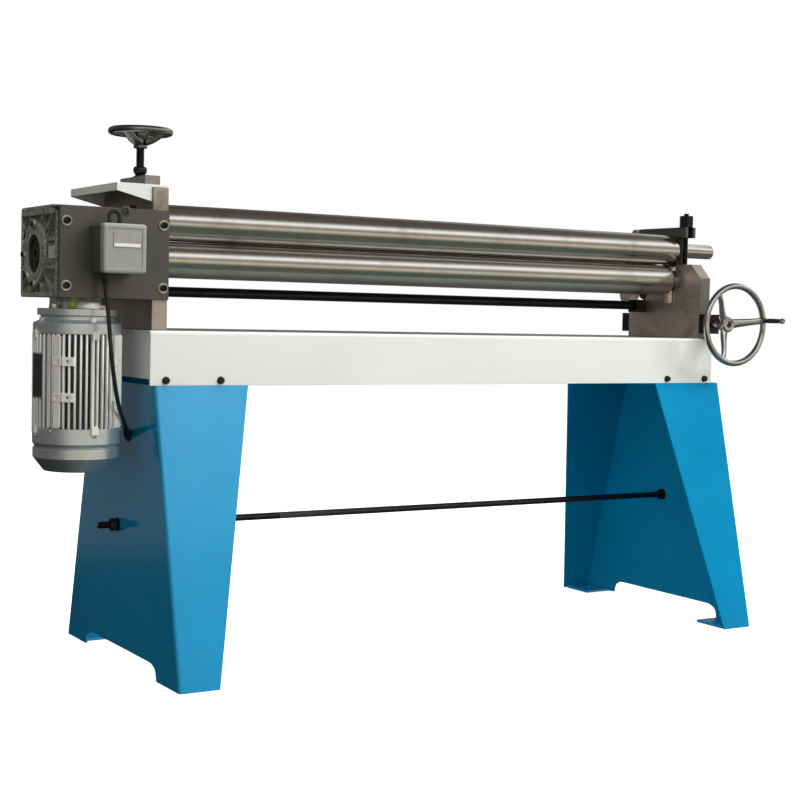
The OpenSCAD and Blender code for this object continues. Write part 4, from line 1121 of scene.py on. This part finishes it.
class ROLLS_OT_motor(bpy.types.Operator):
    """Builds the finned motor with its bells, its milled rails and pads, its plate and its fan cowl"""

    bl_idname = "rolls.motor"
    bl_label = "Motor"

    FIN, FIN_HALF, PER_FIN = 12, 2.5, 24
    CORE_R = 70  # pieces on the body start inside its fins
    RAILS = [(211.5, 7, 82.6), (224, 13, 83.6), (271, 5, 83.0), (312, 17, 83.4),
             (44, 17, 83.4), (134, 17, 83.4)]  # angle, width, distance of the face from the axis
    FOOT_PADS = [(238.5, 23), (224, 17), (312, 24), (44, 24), (134, 24)]  # angle, width
    LUG_TURNS, SCREW_TURNS = (3.5, 93.5, 183.5, 273.5), (33.5, 153.5, 213.5, 333.5)

    def execute(self, context):
        axis = middle("motor_flange") * (1, 1, 0)
        lo, hi = ends("motor_body")
        self.body(axis, context.scene.roll_sizes.fins, lo, hi)
        self.rails(axis, lo[2], hi[2])
        self.plate(axis, lo[2] + 54)
        self.tie_bolts(axis, lo[2], hi[2])
        for node in ("motor_flange", "motor_top_bell", "motor_low_bell"):
            dressed(node, "motor", 1.4)
        dressed("motor_fan_cowl", "cowl", 1.4)
        return {"FINISHED"}

    def body(self, at, fins, lo, hi):
        """Radius over angle: the core, plus the fin height times a rounded step that is one over each fin's
        width and nothing between the fins."""
        core = (hi[0] - lo[0]) / 2 - self.FIN
        off = (circle(fins * self.PER_FIN) * fins / (2 * np.pi) + 0.5) % 1 - 0.5
        across = np.abs(off) * 2 * np.pi * core / fins
        step = np.clip((self.FIN_HALF - across) / 1.3, 0, 1)
        height = (self.FIN - 1) * np.sin(step * np.pi / 2) ** 0.8
        rows = np.array([0.82, 1, 1, 0.82])[:, None]
        z = [lo[2], lo[2] + 2.5, hi[2] - 2.5, hi[2]]
        piece("motor_body_finned", polar(core + height[None, :] * rows, z, at), "fins", "motor_casting",
              "motor_body", sharp=50)

    def rails(self, axis, lo, hi):
        """Milled rails along the body, and the drilled pads for feet beside them."""
        shapes = []
        for degrees, wide, face in self.RAILS:
            rail = pad(wide, hi - lo - 2, min(wide / 2.2, 5), face - self.CORE_R)
            shapes.append(on_rim(rail, axis, self.CORE_R, degrees, lo + 1))
        shapes += [on_rim(drilled(wide, 17, 13.4, 6), axis, self.CORE_R + 1, degrees, z)
                   for degrees, wide in self.FOOT_PADS for z in (lo + 58, lo + 124)]
        piece("motor_rails", joined(*shapes), "motor_rails", "motor_casting", edge=0.8, steps=2)

    @staticmethod
    def plate(axis, z):
        """A flat pad on the body's side with a dark bare plate in a bright border."""
        piece("plate_pad", on_rim(pad(38, 86, 3, 10), axis, 72, 190, z), "motor", "motor_casting", edge=1)
        bare = pad(32, 80, 2, 1.1).moved((0, 3, 0))
        piece("motor_plate", on_rim(bare, axis, 82, 190, z), "dark_plate", "dark_steel", edge=0.3, steps=2)

    def tie_bolts(self, axis, lo, hi):
        """Lugs where the long bolts hold the bells to the body, with their heads and nuts."""
        lugs, heads = [], []
        for degrees in self.LUG_TURNS:
            lugs += [on_rim(pad(14, 16, 3, 16), axis, self.CORE_R, degrees, z) for z in (lo - 11, hi - 10)]
            lugs.append(on_rim(pad(9, 17, 2, 8), axis, self.CORE_R - 4, degrees, hi + 14))
            spot = axis + outward(degrees)[:, 2] * 79.5
            heads += [hex_head(9, 5, spot + (0, 0, z), way=way) for z, way in ((hi + 6, 1), (lo - 11, -1))]
        piece("bell_lugs", joined(*lugs), "motor_rails", "motor_casting", edge=0.8, steps=2)
        piece("bell_bolts", joined(*heads), "zinc", "plain_steel")
        screw = lathe([(0, -3), (3, -2.4), (3.6, 0), (3, 2.4), (0, 3)], around=32)
        spots = ring_of(axis, 80, self.SCREW_TURNS, lo - 5)
        piece("bell_screws", screw.at_each(spots), "zinc", "plain_steel")


class ROLLS_OT_switch_box(bpy.types.Operator):
    """Builds the switch box: its body, painted dark grey as painted shade on its sides, its grey cover with a
    bare label and a white bar of painted highlight under it, and the fittings above it
    """

    bl_idname = "rolls.switch_box"
    bl_label = "Switch box"

    COVER = 16

    def execute(self, context):
        lo, hi = ends("switch_box")
        seam = lo[1] + self.COVER
        body = prism(rect(lo[2] + 1, hi[2] - 1, lo[0] + 1, hi[0] - 1, 4), seam, hi[1], "y")
        # The body takes the darker grey: painted shade on the box's sides.
        piece("switch_body", body, "case_painted_shade", "switch_case", "switch_box", edge=1)
        self.cover(lo, hi, seam)
        x0, x1, z0, z1 = lo[0] + 19, hi[0] - 12, lo[2] + 47, hi[2] - 15
        label = prism(rect(z0, z1, x0, x1, 1.5), lo[1] + 0.1, lo[1] + 2.2, "y")
        piece("switch_label", label, "plate_label", "plain_steel", edge=0.3, steps=2)
        # Painted highlight: a white bar along the label's lower edge.
        strip = prism(rect(z0 + 1, z0 + 7, x0 + 1, x1 - 1, 1), lo[1] - 0.7, lo[1] + 1, "y")
        piece("switch_label_highlight", strip, "label_highlight_strip", "plain_steel", edge=0.3, steps=2)
        self.fittings(lo[0], hi[1] - 35, hi[2])
        return {"FINISHED"}

    @staticmethod
    def cover(lo, hi, seam):
        """The cover as outlines in rows from its seam: it rounds over a quarter turn to its face, and
        steps back to a sunk panel."""
        turn = np.linspace(0, np.pi / 2, 6)
        steps = [(0, seam - lo[1])] + [(5 * (1 - math.cos(a)), 5 * (1 - math.sin(a))) for a in turn]
        rows = []
        for inset, back in steps + [(8.4, 0), (9.2, 1.3)]:
            outline = rect(lo[2] + inset, hi[2] - inset, lo[0] + inset, hi[0] - inset,
                           max(6 - inset * 0.5, 1))
            rows.append(place(outline[:, 0], outline[:, 1], lo[1] + back, "y"))
        piece("switch_cover", skin(np.array(rows[::-1])), "case", "switch_case", sharp=36)

    @staticmethod
    def fittings(left, y, z):
        """A short hose that loops over on top of the box, and the plated lug on the gear cover beside it."""
        x, r, tall = left + 24, 10, 13
        path = [(x, y, z - 1), (x, y, z + 6)]
        path += [(x + r + r * math.cos(a), y + 2, z + tall + r * math.sin(a))
                 for a in np.linspace(np.pi, 0, 13)]
        path += [(x + 2 * r, y, z + 6), (x + 2 * r, y, z - 1)]
        collar = lathe([(0, -1), (5.6, -1), (5.6, 4), (4.8, 5), (0, 5)], around=40)
        collars = collar.at_each([(x, y, z), (x + 2 * r, y, z)])
        piece("jumper_hose", joined(tube(path, 3.6, around=24), collars), "rubber", "black_plastic", sharp=50)
        face, top = low("gear_cover_front")[1], high("gear_cover_front")[2]
        lug = drilled(13, 15, 3, 5.5, sunk=0.9).moved((left + 69, face + 0.2, top - 4), FORWARD)
        piece("cover_lug", lug, "lug", "plain_steel", edge=0.5, steps=2)


# ---- top screw, handwheels, open end --------------------------------------------------------------

class ROLLS_OT_top_bracket(bpy.types.Operator):
    """Dresses the top bracket, the screw block and the collar, and cuts the jack screw's thread"""

    bl_idname = "rolls.top_bracket"
    bl_label = "Top bracket"

    def execute(self, context):
        dressed("top_bracket", "bracket", 0.8)
        dressed("screw_block", "machined")
        dressed("jack_pad", "black", 1.0)
        lo, hi = ends("jack_screw")
        at = middle("jack_screw") * (1, 1, 0)
        turn = np.linspace(-1.1, 1.1, 13)
        bulge = np.stack([8.6 + 4.6 * np.cos(turn), 13.4 + 7.6 * np.sin(turn)], -1)
        knob = np.concatenate([[(8.1, 0.2), (13.4, 0.2), (13.2, 1.2), (9.6, 3.0), (8.9, 4.6)],
                               bulge, [(8.1, 20.6)]])
        knob = lathe(knob, at + (0, 0, low("jack_collar")[2]), around=72, loop=True)
        piece("jack_collar_turned", knob, "black", "plain_steel", "jack_collar")
        r, pitch = (hi[0] - lo[0]) / 2, context.scene.roll_sizes.pitch / MM
        hub = low("top_handwheel")[2]
        neck = lathe([(r - 0.8, hub - pitch), (r, hub - pitch + 0.8), (r, hi[2] - 1.2), (r - 1.2, hi[2])],
                     at, around=48)
        screw = joined(thread(2 * r, pitch, lo[2] + pitch, hub, at), neck)
        piece("jack_screw_cut", screw, "black", "dark_steel", "jack_screw")
        return {"FINISHED"}


class ROLLS_OT_handwheels(bpy.types.Operator):
    """Shapes both handwheels with round rims, tapered spokes and turned hubs, and the crank grip"""

    bl_idname = "rolls.handwheels"
    bl_label = "Handwheels"

    TOP_HUB = [(8.1, 1007.5), (12.6, 1007.5), (13.3, 1009), (13.3, 1012), (11.8, 1015), (11.8, 1021),
               (14.5, 1029), (17, 1035), (16, 1038), (8.1, 1038)]
    FRONT_AT, FRONT_TURN = (667.5, -224.0, 694.0), 7
    FRONT_R, FRONT_RIM_Z, GRIP_R = 95, 34, 87
    FRONT_HUB = [(8.1, -12.8), (12.6, -12.8), (13.9, -11.5), (13.9, -4), (16.5, 2), (17.6, 8), (17.4, 12.2),
                 (16.2, 14.2), (14.4, 14.8), (8.1, 14.8)]
    BOSS = [(3.1, -8.8), (7.2, -8.8), (8.2, -7.6), (8.2, 7.6), (7.2, 8.8), (3.1, 8.8)]
    GRIP = [(0, -17.6), (2.6, -17.6), (3, -17), (3, 0), (4.2, 0.2), (4.8, 1.6), (5.5, 14), (5.3, 32),
            (4.7, 46), (4.5, 50), (0, 50)]
    CAP = [(0, 47), (4.6, 47.4), (6.2, 49.6), (6.5, 52), (6.3, 55), (5.2, 56.8), (3.2, 57), (2.4, 55.6),
           (0, 55.6)]

    def execute(self, context):
        lo, hi = ends("top_handwheel")
        at = middle("jack_screw") * (1, 1, 0)
        wheel = joined(lathe(self.TOP_HUB, at, around=72, loop=True),
                       *self.rim_and_spokes((hi[0] - lo[0]) / 2, 6.9, 1039, 1020, 12, (13.5, 9.5), 90, at))
        piece("top_handwheel_cast", wheel, "dark_chrome", "wheel_chrome", "top_handwheel", sharp=50)
        self.front_wheel()
        return {"FINISHED"}

    @staticmethod
    def rim_and_spokes(radius, thick, rim_z, hub_z, hub_r, widths, turn, at=(0, 0, 0)):
        """A round rim, and three spokes that leave the hub and curve up to it: over t from 0 to 1 the
        distance goes linearly outwards and the height eases in and out as 3t² - 2t³."""
        angle, middle_r = circle(28), radius - thick
        section = np.stack([middle_r + thick * np.cos(angle), rim_z + thick * np.sin(angle)], -1)
        shapes = [lathe(section, at, around=120, loop=True)]
        t = np.linspace(0, 1, 24)
        out = hub_r + (middle_r - hub_r) * t
        up = hub_z + (rim_z - hub_z) * (0.25 * t + 0.75 * (3 * t**2 - 2 * t**3))
        wide = widths[0] + (widths[1] - widths[0]) * np.sin(t * np.pi / 2)
        for a in np.radians([turn, turn + 120, turn + 240]):
            path = np.stack([out * np.cos(a), out * np.sin(a), up], -1) + at
            shapes.append(tube(path, wide, flat=0.5, hint=(0, 0, 1)))
        return shapes

    def front_wheel(self):
        a = math.radians(self.FRONT_TURN)
        spot = np.array([math.cos(a) * self.GRIP_R, math.sin(a) * self.GRIP_R, self.FRONT_RIM_Z])
        ring = self.rim_and_spokes(self.FRONT_R, 6.8, self.FRONT_RIM_Z, 5, 9, (11.5, 7.2), self.FRONT_TURN)
        wheel = joined(lathe(self.FRONT_HUB, around=72, loop=True), *ring,
                       lathe(self.BOSS, spot, around=48, loop=True))
        grip, cap = (lathe(profile, spot + (0, 0, 9.3), around=64) for profile in (self.GRIP, self.CAP))
        wheel, grip, cap = (shape.moved(self.FRONT_AT, FORWARD) for shape in (wheel, grip, cap))
        piece("front_handwheel_cast", wheel, "chrome", "wheel_chrome", "front_handwheel", sharp=50)
        piece("crank_grip_turned", grip, "plastic", "grip_plastic", "crank_grip")
        piece("crank_grip_cap", cap, "chrome", "wheel_chrome", body=BODY["crank_grip"])


class ROLLS_OT_cap_bar(bpy.types.Operator):
    """Dresses the cap bar over the open end, its pins, its swing bolt and the bolt's nut"""

    bl_idname = "rolls.cap_bar"
    bl_label = "Cap bar"

    EYE_R, PITCH = 4.1, 1.75

    def execute(self, context):
        dressed("cap_bar", "cap_iron")
        dressed("cap_pins", "machined", 0.7)
        dressed("swing_nut", "black")
        lo, hi = ends("swing_bolt")
        wide, eye, _ = hi - lo
        at = middle("swing_bolt") * (1, 1, 0) + (0, 0, lo[2] + eye / 2)
        r, w = eye / 2, wide / 2
        ring = lathe([(self.EYE_R, -w), (r - 1, -w), (r, 1 - w), (r, w - 1), (r - 1, w), (self.EYE_R, w)],
                     at, "x", 64, loop=True)
        bolt = joined(ring, thread(wide, self.PITCH, at[2] + 8, hi[2] - 1, at * (1, 1, 0)))
        piece("swing_bolt_cut", bolt, "black", "dark_steel", "swing_bolt")
        return {"FINISHED"}


class ROLLS_OT_adjusting_gear(bpy.types.Operator):
    """Dresses the cross shaft, the wheel shaft and their bearing blocks"""

    bl_idname = "rolls.adjusting_gear"
    bl_label = "Adjusting gear"

    def execute(self, context):
        dressed("cross_shaft_bearings", "black")
        dressed("wheel_shaft_bearings", "black")
        lo, hi = ends("cross_shaft")
        r = (hi[1] - lo[1]) / 2
        shaft = [(0, lo[0]), (r - 1, lo[0]), (r, lo[0] + 1), (r, hi[0] - 1), (r - 1, hi[0]), (0, hi[0])]
        shaft = lathe(shaft, middle("cross_shaft") * (0, 1, 1), "x", 64)
        piece("cross_shaft_turned", shaft, "black", "dark_steel", "cross_shaft")
        lo, hi = ends("wheel_shaft")
        at, r, y0, y1 = middle("wheel_shaft") * (1, 0, 1), (hi[0] - lo[0]) / 2, lo[1], hi[1]
        plug = lathe([(0, -2), (5.2, -2), (5.2, -0.2), (4.6, 0.4), (0, 0.2)], at + (0, y0 - 1.2, 0), "y", 40)
        piece("shaft_plug", plug, "black", "dark_steel", body=BODY["wheel_shaft"])
        shaft = [(0, y0 + 9), (2.4, y0 + 8), (2.9, y0 - 1), (r - 2, y0 - 2), (r - 0.4, y0 - 1), (r, y0),
                 (r, y1 - 1), (r - 1, y1), (0, y1)]
        piece("wheel_shaft_turned", lathe(shaft, at, "y", 64), "chrome", "plain_steel", "wheel_shaft")
        return {"FINISHED"}


class ROLLS_OT_fasteners(bpy.types.Operator):
    """Sets the bolts through the bed skirts into the stands"""

    bl_idname = "rolls.fasteners"
    bl_label = "Fasteners"

    PLACES, FROM_EDGE, WASHER = (-690, -577, 552, 666), 10, 1.5

    def execute(self, context):
        size, under, shapes = context.scene.roll_sizes.bed_bolt / MM, self.WASHER, []
        for way in (-1, 1):
            spots = [(x, high("bed")[1] * way, low("bed")[2] + self.FROM_EDGE) for x in self.PLACES]
            bolt = hex_head(size * 0.87, 6, (0, way * under, 0), "y", way)
            ring = washer(size * 1.15, 8, under, (0, min(0, way) * under, 0), "y")
            shapes += [bolt.at_each(spots), ring.at_each(spots)]
        piece("bed_bolts", joined(*shapes), "black", "dark_steel")
        return {"FINISHED"}


# ---- panel and registration -----------------------------------------------------------------------

OPERATORS = [ROLLS_OT_stage, ROLLS_OT_switch_cable, ROLLS_OT_stands, ROLLS_OT_tie_rod, ROLLS_OT_bed,
             ROLLS_OT_side_frames, ROLLS_OT_rolls, ROLLS_OT_bearings, ROLLS_OT_gear_case,
             ROLLS_OT_worm_gearbox, ROLLS_OT_motor, ROLLS_OT_switch_box, ROLLS_OT_top_bracket,
             ROLLS_OT_handwheels, ROLLS_OT_cap_bar, ROLLS_OT_adjusting_gear, ROLLS_OT_fasteners]


class ROLLS_PT_panel(bpy.types.Panel):
    """Lists the sizes, the colours and the pieces of the plate rolling machine"""

    bl_idname = "ROLLS_PT_panel"
    bl_label = "Plate rolling machine"
    bl_space_type = "VIEW_3D"
    bl_region_type = "UI"
    bl_category = "Plate Rolls"

    def draw(self, context):
        for group in (context.scene.roll_sizes, context.scene.roll_colours, context.scene.roll_studio):
            box = self.layout.box()
            for key in group.__annotations__:
                box.prop(group, key)
        for operator in OPERATORS:
            self.layout.operator(operator.bl_idname)


GROUPS = {"roll_sizes": RollMachineSizes, "roll_colours": RollMachineColours,
          "roll_studio": RollMachineStudio}
CLASSES = [*GROUPS.values(), *OPERATORS, ROLLS_PT_panel]


def register():
    for cls in CLASSES:
        bpy.utils.register_class(cls)
    for name, group in GROUPS.items():
        setattr(bpy.types.Scene, name, PointerProperty(type=group))


def unregister():
    for name in GROUPS:
        delattr(bpy.types.Scene, name)
    for cls in reversed(CLASSES):
        bpy.utils.unregister_class(cls)


def main():
    register()
    make_finishes(bpy.context.scene.roll_colours)
    for operator in OPERATORS:
        getattr(bpy.ops.rolls, operator.bl_idname.split(".")[1])()


if __name__ == "__main__":
    main()
